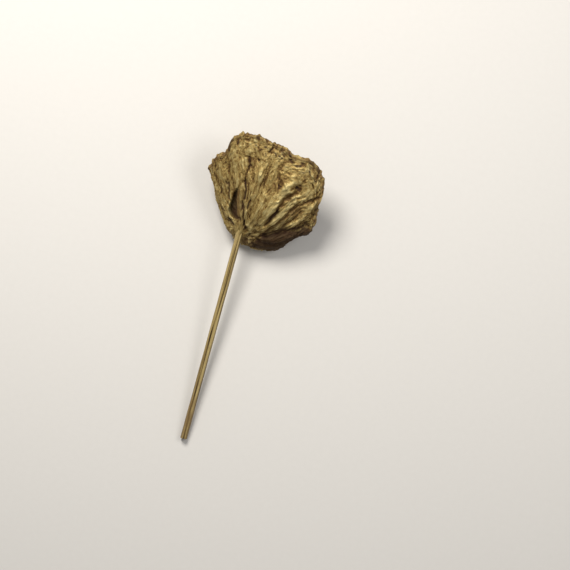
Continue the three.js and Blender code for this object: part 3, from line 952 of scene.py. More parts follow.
@dataclass
class PodWall:
    """The receptacle's outer wall, its rolled rim and its face, as functions.

    Attributes:
        stations: the wall's sections.
        rim_lift: degrees round the pod, and how far the rim is raised there.
        near_rim: the station that shows the wall's direction at the rim.
        normal_step: the step that the normals are worked out over.
        swells: rows of height, waves round the pod, lean along it and phase.
        lip: the lip's outline, as distances along the rim's direction and outwards.
        lip_crinkles: heights of the lip's wide and narrow crinkles.
        roll_middle: the middle of the lip's roll, which the crinkles stand away from.
        fibre_swing: share of a turn that the fibres swing round by at the joint.
        swing_reach: the station by which most of the swing has gone.
        fibre_wander: how far the fibres wander, in slow and quick bends.
        ragged_degrees: how ragged the folds are in degrees, coarsely and finely.
        ragged_station: how ragged they are along the wall.
        pocket_depth: how deep the torn hollow is.
        pocket_left: station and degrees of the hollow's left side.
        pocket_right: station and degrees of its right side.
        pocket_lean: how much of straight down the hollow's way down takes in.
        face_centre: the middle of the face.
        sleeve: how far the wall is drawn down the stem.
        sleeve_end: the station up to which it is drawn.
        sleeve_draw: the share by which it is narrowed round the stem.
        tongue: how uneven the sleeve's end is, as a share of the sleeve.
    """

    stations: tuple[Station, ...] = (
        Station(0.0, 3.3, 3.3, 0, 0, 1.5, -1.5, 18, 21, 15, 2),
        Station(0.1, 4.8, 8.5, 3, 0, 5, -5.5, 17, 24.3, 10.5, 2.1),
        Station(0.22, 9, 17, 5.5, 1.5, 12, -5.5, 16, 29, 4, 2.3),
        Station(0.4, 15, 25.5, 6, 6.5, 24, -0.4, 16.5, 33, -0.5, 2.6),
        Station(0.68, 24.4, 33, 3, 15, 40, 17, 18.5, 36, -1, 3.0),
        Station(1.0, 31.6, 37.3, 0, 22.5, 53, 39, 20, 38, -0.4, 3.4),
    )
    rim_lift: Pairs = (
        (0, -0.5), (12, -2.8), (25, -5.0), (36, -2.6), (45, -0.8), (55, 1.1), (63, 1.9),
        (72, 0.4), (79, -0.6), (85, 1.0), (97, 0.7), (105, 0.2), (117, 0.6), (130, 0.5),
        (140, -0.4), (147, -2.4), (151, -4.2), (156, -3.0), (163, 0.2), (172, 1.4),
        (200, 2.2), (270, 0.4), (330, 1.2), (360, -0.5),
    )
    near_rim: float = 0.93
    normal_step: float = 0.004
    swells: tuple[tuple[float, int, float, float], ...] = (
        (0.45, 11, 2.2, 0.0), (0.35, 19, -3.1, 1.3),
    )
    lip: Pairs = ((0, 0), (1.2, 0.3), (2.3, -0.6), (2.5, -2), (1.4, -3.4), (0.2, -4.6))
    lip_crinkles: tuple[float, float] = (0.95, 0.75)
    roll_middle: tuple[float, float] = (-1.05, -2.2)
    fibre_swing: float = 0.125
    swing_reach: float = 0.17
    fibre_wander: tuple[float, float] = (0.010, 0.004)
    ragged_degrees: tuple[float, float] = (1.5, 0.9)
    ragged_station: float = 0.008
    pocket_depth: float = 4.6
    pocket_left: Pairs = (
        (0.14, 149), (0.16, 155), (0.20, 162), (0.27, 166), (0.32, 165), (0.35, 160),
        (0.38, 154), (0.41, 149), (0.43, 143),
    )
    pocket_right: Pairs = ((0.14, 124), (0.21, 125), (0.29, 126), (0.36, 128), (0.43, 130))
    pocket_lean: float = 1.6
    face_centre: tuple[float, float, float] = (0.5, 46.0, 18.8)
    sleeve: float = 2.2
    sleeve_end: float = 0.05
    sleeve_draw: float = 0.26
    tongue: float = 0.7

    def plain(self, angle: Array, at: Array) -> Array:
        """The wall without folds.

        Each section is a superellipse, |x|^k + |y|^k = 1, widened to its left and
        right half widths; v and z are quadratics and a power of its height y, so the
        rim is arched and the far side is shallower than the upper side.

        Args:
            angle: radians round the pod.
            at: station.

        Returns:
            Points in the pod's axes, millimetres.
        """
        rows = through_points([astuple(station) for station in self.stations], at)
        left, right, shift, v_side, v_top, v_far, z_side, z_top, z_far, order = np.moveaxis(
            rows, -1, 0
        )
        c, n = np.cos(angle), np.sin(angle)
        far_order = 2 + 0.7 * at
        power = far_order + (order - far_order) / (1 + np.exp(-8 * n))
        reach = (np.abs(c) ** power + np.abs(n) ** power) ** (-1 / power)
        x, y = reach * c, reach * n
        half = (left + right) / 2 + (right - left) / 2 * np.tanh(3 * x) / math.tanh(3)
        tilt = y * (1.3 - 0.3 * y * y)
        arch = np.abs(y) ** 1.3 * (1.5 - 0.5 * np.abs(y))
        u = half * x + shift * np.clip(-y, 0, 1) ** 1.5
        v = v_side + (v_top - v_far) / 2 * tilt + (v_top + v_far - 2 * v_side) / 2 * arch
        z = z_side + (z_top - z_far) / 2 * y + (z_top + z_far - 2 * z_side) / 2 * y * y
        return np.stack([u, v, z], axis=-1)

    def rim_way(self, angle: Array) -> Array:
        """The wall's own direction at the rim, away from the joint."""
        one = np.ones_like(angle)
        return unit(self.plain(angle, one) - self.plain(angle, self.near_rim * one))

    def lifted(self, angle: Array, at: Array) -> Array:
        """The plain wall with its rim raised or lowered along the rim's direction.

        Args:
            angle: radians round the pod.
            at: station.

        Returns:
            Points in the pod's axes, millimetres.
        """
        degrees = np.mod(np.degrees(angle), 360)
        lift = through_points(self.rim_lift, degrees) * np.clip((at - 0.55) / 0.45, 0, 1) ** 2
        return self.plain(angle, at) + self.rim_way(angle) * lift[..., None]

    def normals(self, angle: Array, at: Array) -> Array:
        """Outward normals: the cross product of the steps along and round the wall.

        Args:
            angle: radians round the pod.
            at: station.

        Returns:
            Unit vectors in the pod's axes.
        """
        step = self.normal_step
        low, high = np.maximum(at - step, 0), np.minimum(at + step, 1)
        round_wall = self.lifted(angle + step, at) - self.lifted(angle - step, at)
        along_wall = self.lifted(angle, high) - self.lifted(angle, low)
        return unit(np.cross(along_wall, round_wall))

    def pocket(self, degrees: Array, at: Array) -> tuple[Array, Array, Array]:
        """The torn hollow beside the long crack, with a shelf along its right side.

        Across, it falls steeply from its left edge, runs level for half its width, and
        climbs to a brown shelf, which meets the crack; along, it is a power of a half
        sine that is skewed towards the joint.

        Args:
            degrees: degrees round the pod.
            at: station.

        Returns:
            The depth in millimetres, and how much of the hollow and of its shelf there is.
        """
        low, high = self.pocket_left[0][0], self.pocket_left[-1][0]
        share = np.clip((at - low) / (high - low), 0, 1)
        inside = np.clip(at, low, high)
        left = through_points(self.pocket_left, inside)
        right = through_points(self.pocket_right, inside)
        across = np.clip((left - degrees) / (left - right), 0, 1)
        lip = smoothstep(across, 0, 0.1)
        along = np.sin(np.pi * share**0.7) ** 0.3
        hollow = lip * (1 - smoothstep(across, 0.52, 0.68))
        shelf = lip * (1 - smoothstep(across, 0.76, 1.0))
        depth = self.pocket_depth * (0.70 * hollow + 0.30 * shelf) * along
        shown = smoothstep(along, 0.35, 0.6)
        return depth, hollow * shown, shelf * shown

    def flow(self, angle: Array, at: Array) -> Array:
        """Share of a turn at which a fibre that passes a point starts at mid wall.

        The fibres swing round by up to an eighth of a turn as they near the joint, and
        noise makes them wander.

        Args:
            angle: radians round the pod.
            at: station.

        Returns:
            The share of a turn, which wraps at 1.
        """
        turn = angle / (2 * np.pi)
        slow, quick = self.fibre_wander
        wander = slow * ripple(turn, at, (11, 3.0), 21.0)
        wander = wander + quick * ripple(turn, at, (31, 8.0), 22.0)
        swing = self.fibre_swing * np.exp(-at / self.swing_reach)
        return np.mod(turn + swing + wander, 1.0)

    def ragged(self, angle: Array, at: Array) -> tuple[Array, Array]:
        """Degrees and station, moved a little by noise so that the folds are ragged.

        Args:
            angle: radians round the pod.
            at: station.

        Returns:
            The moved degrees and station.
        """
        turn = angle / (2 * np.pi)
        coarse, fine = self.ragged_degrees
        degrees = degrees_round(angle) + coarse * ripple(turn, at, (64, 16.0), 41.0)
        degrees = degrees + fine * ripple(turn, at, (150, 36.0), 42.0)
        return degrees, at + self.ragged_station * ripple(turn, at, (90, 14.0), 43.0)

    def forms(self, angle: Array, at: Array) -> Array:
        """Height of the folds, and of swells that are sines round the pod.

        Args:
            angle: radians round the pod.
            at: station.

        Returns:
            The height in millimetres.
        """
        degrees, place = self.ragged(angle, at)
        height = np.zeros_like(at)
        for fold in CRACKS + RIDGES:
            height = height + fold.height * fold.shape(degrees, place)
        swell = smoothstep(at, 0.02, 0.3) * (1 - 0.6 * smoothstep(at, 0.6, 1.0))
        for top, waves, lean, phase in self.swells:
            height = height + top * swell * np.sin(waves * angle + lean * at + phase)
        return height

    def grain(self, angle: Array, at: Array) -> Array:
        """Height of the fine wrinkles, lumps and crinkles.

        Every layer runs along the fibres and is weakened by its zone's share, which is a
        product of smooth steps along the wall and of steps or a bell round it.

        Args:
            angle: radians round the pod.
            at: station.

        Returns:
            The sum of the layers, millimetres.
        """
        flow = self.flow(angle, at)
        grown = 0.25 + 0.75 * smoothstep(at, 0.0, 0.35)
        lower_right = smoothstep(np.cos(angle + 0.5), -0.2, 0.8)
        patches = np.clip(0.65 + 0.7 * ripple(flow, at, (19, 7.0), 14.0), 0.2, 1.2)
        shares = {
            Zone.GROWN: grown,
            Zone.CALMER: grown * (1 - 0.45 * smoothstep(at, 0.55, 0.8)),
            Zone.THREADS: grown * (1 + 0.9 * bump(degrees_round(angle), 34.0, 30.0)),
            Zone.LUMPS: lower_right * (1 - smoothstep(at, 0.1, 0.3)),
            Zone.RIM: smoothstep(at, 0.78, 0.99) * patches,
            Zone.UPPER: smoothstep(at, 0.45, 0.75),
        }
        height = np.zeros_like(at)
        for layer in GRAIN:
            height = height + shares[layer.zone] * layer.relief(flow, at)
        return height

    def relief(self, angle: Array, at: Array) -> Array:
        """Height of the folds and the grain together."""
        return self.forms(angle, at) + self.grain(angle, at)

    def folded(self, angle: Array, at: Array, relief: Array) -> Array:
        """Points of the folded wall.

        The relief is along the wall's normal. The pocket sinks along the normal leaned
        towards straight down, so its rim stays where it is seen from above.

        Args:
            angle: radians round the pod.
            at: station.
            relief: height of the folds and the grain.

        Returns:
            Points in the pod's axes, millimetres.
        """
        normal = self.normals(angle, at)
        sunk = self.pocket(degrees_round(angle), at)[0]
        down = unit(normal + np.array([0.0, 0.0, self.pocket_lean]))
        points = self.lifted(angle, at) + normal * relief[..., None] - down * sunk[..., None]
        return self.drawn(points, angle, at)

    def drawn(self, points: Array, angle: Array, at: Array) -> Array:
        """Draw the wall's first rows in round the stem and down it in short tongues.

        Args:
            points: the wall's points in the pod's axes.
            angle: radians round the pod.
            at: station.

        Returns:
            The points, narrowed about the joint and moved along the stem by a smooth step.
        """
        level = math.cos(STEM_SLOPE)
        across, back = -level * math.sin(POD_TURN), -level * math.cos(POD_TURN)
        down_stem = np.array([across, back, -math.sin(STEM_SLOPE)])
        joint = np.array([0.0, 0.0, JOINT_HEIGHT])
        near = (1 - smoothstep(at, 0.0, self.sleeve_end))[..., None]
        tongues = ripple(angle / (2 * np.pi), np.zeros_like(at), (11, 1.0), 51.0)[..., None]
        narrowed = joint + (points - joint) * (1 - self.sleeve_draw * near)
        return narrowed + self.sleeve * (1 + self.tongue * tongues) * near * down_stem

    def crinkles(self, flow: Array, share: Array) -> tuple[Array, Array]:
        """The lip's wide and narrow crinkles, as noise."""
        return ripple(flow, share, (70, 2.3), 11.0), ripple(flow, share, (130, 4.0), 12.0)

    def lip_points(self, angle: Array, share: Array) -> Array:
        """The rolled rim.

        The wall's last point moves by the lip's outline along the rim and outwards. The
        wall's relief dies away over the lip, and crinkles stand out of the roll's top.

        Args:
            angle: radians round the pod.
            share: 0 at the wall's last row and 1 at the lip's inner edge.

        Returns:
            Points in the pod's axes, millimetres.
        """
        one = np.ones_like(angle)
        steps = np.linspace(0, 1, len(self.lip))
        outline = through_points([(s, *p) for s, p in zip(steps, self.lip)], share)
        ahead, out = outline[..., :1], outline[..., 1:]
        way, normal = self.rim_way(angle), self.normals(angle, one)
        relief = self.relief(angle, one) * (1 - share)
        wide, narrow = self.crinkles(self.flow(angle, one), share)
        top = np.sin(np.pi * np.clip(share, 0, 1)) ** 0.7
        crinkle = top * (self.lip_crinkles[0] * wide + self.lip_crinkles[1] * narrow)
        back, down = self.roll_middle
        roll = unit(way * (ahead - back) + normal * (out - down))
        rolled = self.lifted(angle, one) + way * ahead + normal * (out + relief[..., None])
        return rolled + roll * crinkle[..., None]

    def face(self, angle: Array, share: Array) -> Array:
        """The sunk face: straight in u and z from its centre to the lip, arched in v.

        Args:
            angle: radians round the pod.
            share: 0 at the centre and 1 at the lip's inner edge.

        Returns:
            Points with v = edge + (centre - edge)(1 - share^3.5).
        """
        edge = self.lip_points(angle, np.ones_like(angle))
        centre = np.array(self.face_centre)
        arch = 1 - share**3.5
        straight = centre + (edge - centre) * share[..., None]
        v = edge[..., 1] + (centre[1] - edge[..., 1]) * arch
        return np.stack([straight[..., 0], v, straight[..., 2]], axis=-1)


@dataclass
class PodMarks:
    """What the pod's paint reads at each point.

    The shading mark is 0.5 on flat wall, less in a groove and more on a ridge, so it
    paints shade into the grooves and highlight onto the ridges. The dark mark is painted
    shade in the cracks, the hollow, the sockets and under the wall, and the real dark of the
    rim's nodules and blotches. The brown mark is brown painted shade in the valleys, on the
    hollow's shelf and on the lower right, and bare is where the paint is missing.
    fibre is a place on a cylinder that is stretched along the fibres, so noise read there
    runs along them and closes round the pod. Most fields say how strong a cause is, from
    0 to 1. Those with fibre in their names are the cylinder's sizes, and shade_line gives
    the degrees at which the shade starts, by station.
    """

    wall: PodWall
    # How strongly the relief and the ridges are painted into the shading mark as shade and
    # highlight
    fine_relief: float = 0.34
    broad_relief: float = 0.24
    ridge_highlight: float = 0.45
    # Painted shade in the hollow and on its shelf, and brown painted shade in streaks on the lower
    # right
    hollow_shade: float = 0.78
    hollow_end_shade: float = 0.18
    shelf_shade: float = 0.36
    shelf_brown_shade: float = 0.85
    right_shade: float = 0.2
    right_brown_shade: float = 0.65
    right_bare: float = 0.15
    nodule_stain: float = 0.85
    edge_stain: float = 0.7
    shade_stain: float = 0.98
    lump_bare: float = 0.55
    belly_bare: float = 0.2
    edge_bare: float = 0.40
    lip_crease: float = 0.42
    lip_relief: float = 0.26
    lip_bare: float = 0.54
    lip_stain: float = 0.75
    inner_lip_bare: float = 0.1
    inner_lip_stain: float = 0.4
    face_crease: float = 0.45
    face_bare: float = 0.30
    face_stain: float = 0.45
    # Painted shade in the sockets
    socket_shade: float = 0.5
    fibre_radius: float = 16.0
    wall_fibres: float = 8.0
    lip_fibres: float = 3.0
    face_fibres: float = 6.0
    shade_line: Pairs = (
        (0.10, -30), (0.13, -8), (0.16, 7), (0.21, 17), (0.32, 17), (0.44, 13), (0.60, 8.5),
        (0.69, 10), (0.94, 2), (1.0, 1),
    )

    def fibre(self, flow: Array, along: Array) -> Array:
        """The place on the fibres' cylinder, stretched along its axis.

        Args:
            flow: the fibre's share of a turn.
            along: the place along the cylinder.

        Returns:
            Places of three numbers.
        """
        turn = 2 * np.pi * flow
        across = [self.fibre_radius * np.cos(turn), self.fibre_radius * np.sin(turn)]
        return np.stack([*across, along], axis=-1)

    def crease(self, relief: Array, degrees: Array, place: Array) -> Array:
        """The wall's painted shading: 0.5, plus the relief less its local mean as painted shade
        and highlight, plus painted highlight along the ridges.

        Args:
            relief: height of the folds and the grain.
            degrees: ragged degrees round the pod.
            place: ragged station.

        Returns:
            The mark.
        """
        crease = 0.5 + self.fine_relief * (relief - blurred(relief, 4))
        crease += self.broad_relief * (blurred(relief, 2) - blurred(relief, 12))
        for ridge in RIDGES:
            crease += self.ridge_highlight * ridge.shape(degrees, place) / (1 + ridge.width)
        return crease

    def shade(self, angle: Array, station: Array, streak: Array) -> Array:
        """The dark band under the wall's lower right, streaky and fading underneath.

        Args:
            angle: radians round the pod.
            station: station.
            streak: long streaks, 0 to 1.

        Returns:
            How much shade there is, a product of smooth steps from the shade's line.
        """
        line = through_points(self.shade_line, np.clip(station, 0.1, 1.0))
        below = line - degrees_round(angle)
        under = smoothstep(below, -2.0, 2.5) * (0.84 + 0.16 * streak)
        under *= smoothstep(np.cos(angle), -0.9, 0.1)
        under *= 1 - 0.62 * smoothstep(below, 42.0, 66.0)
        return under * smoothstep(station, 0.05, 0.16)

    def on_wall(self, grid: Grid, relief: Array) -> Marks:
        """The wall's marks, where the strongest cause of the dark mark and of the brown mark wins;
        most of both is painted shade.

        Args:
            grid: angles by stations.
            relief: height of the folds and the grain.

        Returns:
            The marks.
        """
        angle, station = grid.angle, grid.along
        degrees = degrees_round(angle)
        ragged, place = self.wall.ragged(angle, station)
        flow = self.wall.flow(angle, station)
        streak = 0.5 + 0.5 * ripple(flow, station, (84, 2.5), 31.0)
        threads = 0.5 + 0.5 * ripple(flow, station, (150, 4.0), 33.0)
        # The lower right, where brown painted shade lies in streaks
        right = bump(degrees, 26.0, 17.0) * smoothstep(station, 0.14, 0.3)
        browned_shade = right * smoothstep(0.5 * streak + 0.5 * threads, 0.36, 0.62)
        hollow, shelf = self.wall.pocket(degrees, station)[1:]
        # The hollow's painted shade is heavier towards its lower end
        hollow_end = 1 - smoothstep(station, 0.24, 0.34)
        hollow_shade = self.hollow_shade + self.hollow_end_shade * hollow_end
        nodules = ripple(flow, station, (70, 17.0), 34.0)
        nodules = nodules + 0.6 * ripple(flow, station, (150, 34.0), 35.0)
        nodules = smoothstep(nodules, 0.30, 0.62) * smoothstep(station, 0.72, 0.92)
        edge = smoothstep(ripple(flow, station, (90, 24.0), 32.0), 0.0, 0.6)
        # Painted shade in the hollow, on its shelf, on the lower right and under the wall, and the
        # rim's real dark nodules and blotches
        stains_and_shades = [
            hollow_shade * hollow + self.shelf_shade * (shelf - hollow),
            self.right_shade * browned_shade,
            self.nodule_stain * nodules,
            self.edge_stain * edge * smoothstep(station, 0.9, 1.0),
            self.shade_stain * self.shade(angle, station, streak),
        ]
        brown_shades = [self.shelf_brown_shade * (shelf - hollow), self.right_brown_shade * browned_shade]
        # Each crack's bed is darkened and browned as painted shade
        for crack in CRACKS:
            shape = crack.shape(ragged, place)
            stains_and_shades.append(crack.stain * shape**1.1)
            brown_shades.append(crack.umber * shape**0.8)
        lumps = smoothstep(np.cos(angle + 0.5), -0.3, 0.7) * (1 - smoothstep(station, 0.06, 0.26))
        bare = self.lump_bare * lumps + self.right_bare * right
        bare += self.belly_bare * smoothstep(-np.sin(angle), 0.0, 0.8)
        bare += self.edge_bare * smoothstep(station, 0.86, 0.98)
        return {
            "crease": self.crease(relief, ragged, place),
            "bare": bare,
            "stain": np.maximum.reduce(stains_and_shades),
            "umber": np.maximum.reduce(brown_shades),
            "fibre": self.fibre(flow, self.wall_fibres * station),
        }

    def on_lip(self, grid: Grid) -> Marks:
        """The lip's marks, whose shading follows its crinkles as painted shade and highlight, with
        dark blotches.

        Args:
            grid: angles by shares from the wall to the lip's inner edge.

        Returns:
            The marks.
        """
        share = grid.along
        flow = self.wall.flow(grid.angle, np.ones_like(grid.angle))
        wide, narrow = self.wall.crinkles(flow, share)
        blotches = smoothstep(ripple(flow, share, (90, 2.4), 32.0), 0.0, 0.6)
        inner_stain = self.inner_lip_stain * smoothstep(share, 0.4, 1.0)
        return {
            "crease": self.lip_crease + self.lip_relief * (wide + narrow),
            "bare": self.lip_bare + self.inner_lip_bare * smoothstep(share, 0.5, 1.0),
            "stain": self.lip_stain * blotches + inner_stain,
            "umber": np.zeros_like(share),
            "fibre": self.fibre(flow, self.wall_fibres + self.lip_fibres * share),
        }

    def on_face(self, grid: Grid, sunk: Array) -> Marks:
        """The face's marks, which are even apart from the painted shade in its sockets.

        Args:
            grid: angles by shares from the centre.
            sunk: how deep each point sank, 0 to 1.

        Returns:
            The marks.
        """
        share = grid.along
        flow = self.wall.flow(grid.angle, np.ones_like(grid.angle))
        start = self.wall_fibres + self.lip_fibres
        return {
            "crease": np.full_like(share, self.face_crease),
            "bare": np.full_like(share, self.face_bare),
            "stain": self.face_stain + self.socket_shade * sunk,
            "umber": np.zeros_like(share),
            "fibre": self.fibre(flow, start + self.face_fibres * (1 - share)),
        }


@dataclass
class SeedRows:
    """Where the seeds stand in the face.

    rows holds each row's place in row steps and its number of seeds, and aim is the
    point behind the joint that every seed points away from.
    """

    rows: tuple[tuple[int, int], ...] = ((0, 6), (-1, 5), (1, 5))
    step: float = 9.9
    row_step: float = 9.4
    shift: float = 0.4
    proud: float = 2.2
    length: float = 11.0
    radius: float = 3.5
    aim: tuple[float, float, float] = (0.0, -14.0, 18.0)
    search_degrees: float = 0.5

    def mouths(self, wall: PodWall) -> Array:
        """The point of the smooth face under each seed's tip.

        The face's point for a given u and z lies on the column whose edge is in the
        same direction from the face's centre, at the ratio of the two distances.

        Args:
            wall: the pod whose face holds the seeds.

        Returns:
            One point for each seed.
        """
        centre = np.array(wall.face_centre)
        aims = []
        for row, count in self.rows:
            for k in range(count):
                index = len(aims) + 1
                u = (k - (count - 1) / 2) * self.step + self.shift * scatter(index)
                aims.append((u, row * self.row_step + self.shift * scatter(index + 40)))
        aims = np.array(aims)
        angle = np.radians(np.arange(0, 360, self.search_degrees))
        edge = wall.lip_points(angle, np.ones_like(angle)) - centre
        reach = np.hypot(edge[:, 0], edge[:, 2])
        way = edge[:, [0, 2]] / reach[:, None]
        best = np.argmax(unit(aims) @ way.T, axis=1)
        share = np.linalg.norm(aims, axis=1) / reach[best]
        return wall.face(angle[best], share)

    def axes(self, mouths: Array) -> Array:
        """The direction of each seed, away from the aim."""
        return unit(mouths - np.array(self.aim))


@dataclass
class Receptacle:
    """The pod's body: one closed skin from the joint over the wall, lip and face.

    Attributes:
        wall: the shapes that it is made of.
        seeds: the seeds that it has sockets for.
        near_columns: columns over the upper side, which spans near_span degrees.
        far_columns: columns over the rest.
        wall_rows, lip_rows, face_rows: rows along each part.
        row_power: above 1, it crowds the wall's rows towards the joint.
        near_end: the degrees where the upper side ends.
        start_inset: how far up the pod its first pole stands.
        socket_radius: a socket's radius, with socket_edge as the steps to its slope.
        socket_depth: how deep a socket is.
        collar_height: height of the puckered collar round a socket.
        collar_place: the collar's radius in socket radii.
        collar_width: how wide the collar is.
        face_pucker: height of the face's wrinkles next to the lip.
    """

    wall: PodWall
    seeds: SeedRows
    near_columns: int = 310
    far_columns: int = 70
    wall_rows: int = 158
    lip_rows: int = 22
    face_rows: int = 58
    row_power: float = 1.12
    near_end: float = 200.0
    near_span: float = 220.0
    start_inset: float = 0.4
    socket_radius: float = 3.85
    socket_edge: tuple[float, float] = (-0.28, 0.12)
    socket_depth: float = 5.5
    collar_height: float = 0.9
    collar_place: float = 1.12
    collar_width: float = 0.62
    face_pucker: float = 0.35

    def columns(self) -> Array:
        """Angles of the columns, closer together on the upper side.

        Returns:
            The angles in radians, falling.
        """
        near = self.near_end - self.near_span * np.arange(self.near_columns) / self.near_columns
        far_span = 360 - self.near_span
        far = self.near_end - self.near_span
        far = far - far_span * np.arange(self.far_columns) / self.far_columns
        return np.radians(np.concatenate([near, far]))

    def face(self, grid: Grid) -> Array:
        """The face with wrinkles, noise in v that dies away towards its centre.

        Args:
            grid: angles by shares from the centre.

        Returns:
            Points in the pod's axes, millimetres.
        """
        points = self.wall.face(grid.angle, grid.along)
        flow = self.wall.flow(grid.angle, np.ones_like(grid.angle))
        wrinkles = ripple(flow, grid.along, (60, 12.0), 9.0)
        points[..., 1] += self.face_pucker * wrinkles * grid.along
        return points

    def sockets(self, points: Array) -> tuple[Array, Array]:
        """Sink a socket with a puckered collar round each seed.

        With d the distance from a seed's line, the collar is a bell about its own radius
        and the socket a smooth step down inside its radius.

        Args:
            points: the face's points in the pod's axes.

        Returns:
            The moved points, and how deep each one sank, from 0 to 1.
        """
        mouths = self.seeds.mouths(self.wall)
        axes = self.seeds.axes(mouths)
        inner, outer = (self.socket_radius + step for step in self.socket_edge)
        collar_radius = self.collar_place * self.socket_radius
        moved, sunk = points.copy(), np.zeros(points.shape[:-1])
        for k, (mouth, axis) in enumerate(zip(mouths, axes)):
            offset = points - mouth
            aside = offset - (offset @ axis)[..., None] * axis
            distance = np.linalg.norm(aside, axis=-1)
            turn = np.arctan2(aside[..., 2], aside[..., 0])
            pucker = 1 + 0.16 * np.sin(7 * turn + 5 * scatter(k + 9)) + 0.1 * np.sin(13 * turn)
            collar = self.collar_height * bump(distance, collar_radius, self.collar_width) * pucker
            hole = 1 - smoothstep(distance, inner, outer)
            moved += (collar - self.socket_depth * hole)[..., None] * axis
            sunk = np.maximum(sunk, hole)
        return moved, sunk

    def build(self, paint: bpy.types.Material) -> bpy.types.Object:
        """Make the body's mesh and dress it.

        Args:
            paint: its finish.

        Returns:
            The object that stands for the node.
        """
        column = self.columns()
        wall_grid = Grid.of(column, np.linspace(0, 1, self.wall_rows + 1) ** self.row_power)
        lip_grid = Grid.of(column, np.linspace(0, 1, self.lip_rows + 1)[1:])
        face_grid = Grid.of(column, 1 - np.arange(1, self.face_rows) / self.face_rows)
        relief = self.wall.relief(wall_grid.angle, wall_grid.along)
        wall = self.wall.folded(wall_grid.angle, wall_grid.along, relief)
        lip = self.wall.lip_points(lip_grid.angle, lip_grid.along)
        face, sunk = self.sockets(self.face(face_grid))
        points = np.concatenate([wall, lip, face], axis=1)
        points[..., 2] = np.maximum(points[..., 2], 0.0)
        marks = PodMarks(self.wall)
        parts = [
            marks.on_wall(wall_grid, relief),
            marks.on_lip(lip_grid),
            marks.on_face(face_grid, sunk),
        ]
        start = np.array([0.0, self.start_inset, JOINT_HEIGHT])
        end = np.array(self.wall.face_centre)
        skin = Skin(pod_to_row(points), pod_to_row(start), pod_to_row(end), joined(parts))
        return dress(skin.build("pod_body"), "receptacle", paint)


@dataclass
class Seed:
    """One loose seed, a lemon-shaped nut.

    outline holds the share of the length and the girth as a share of the radius, and
    tip_share is how far from each tip the first ring stands.
    """

    rows: SeedRows
    outline: Pairs = (
        (0, 0.0), (0.02, 0.24), (0.08, 0.5), (0.34, 0.96), (0.7, 0.95), (0.93, 0.5),
        (0.985, 0.2), (1, 0.0),
    )
    tip_share: float = 0.008
    least_girth: float = 0.02
    flat_depth: float = 0.02
    columns: int = 40
    bands: int = 30

    def build(
        self, number: int, mouth: Array, axis: Array, shell: bpy.types.Material
    ) -> bpy.types.Object:
        """Turn the seed's outline round its axis.

        The radius at share t of the length follows the outline, with three faint
        lengthwise flats.

        Args:
            number: which seed it is, from 1.
            mouth: the point of the face at its tip.
            axis: the way that it points.
            shell: its finish.

        Returns:
            The object that stands for the node.
        """
        share = np.linspace(self.tip_share, 1 - self.tip_share, self.bands)
        girth = np.clip(through_points(self.outline, share), self.least_girth, None)
        turn = 2 * np.pi * np.arange(self.columns) / self.columns
        flats = 1 + self.flat_depth * np.cos(3 * turn + 4 * scatter(number + 70))
        radius = self.rows.radius * flats[:, None] * girth[None, :]
        across = unit(np.cross(axis, [0.0, 0.0, 1.0]))
        up = np.cross(axis, across)
        base = mouth + axis * (self.rows.proud - self.rows.length)
        ring = np.cos(turn)[:, None, None] * across + np.sin(turn)[:, None, None] * up
        points = base + self.rows.length * share[None, :, None] * axis
        points = points - ring * radius[..., None]
        skin = Skin(
            pod_to_row(points[::-1]),
            pod_to_row(base),
            pod_to_row(base + axis * self.rows.length),
            {"along": np.broadcast_to(share[None, :], radius.shape)},
        )
        piece = skin.build(f"seed_shell_{number:02d}")
        return dress(piece, f"seed_{number:02d}", shell)


# The stem


@dataclass(frozen=True)
class Band:
    """A bell-shaped band along the stem, with its middle and width in radians round it.

    It also says how deep it is sunk in millimetres, and what it adds to the shading mark, which is
    painted shade below zero and painted highlight above it.
    """

    middle: float
    width: float
    depth: float
    crease: float

    def shape(self, angle: Array) -> Array:
        """1 along the band's middle, falling off as a bell both ways round."""
        return bump(short_way(angle - self.middle), 0.0, self.width)


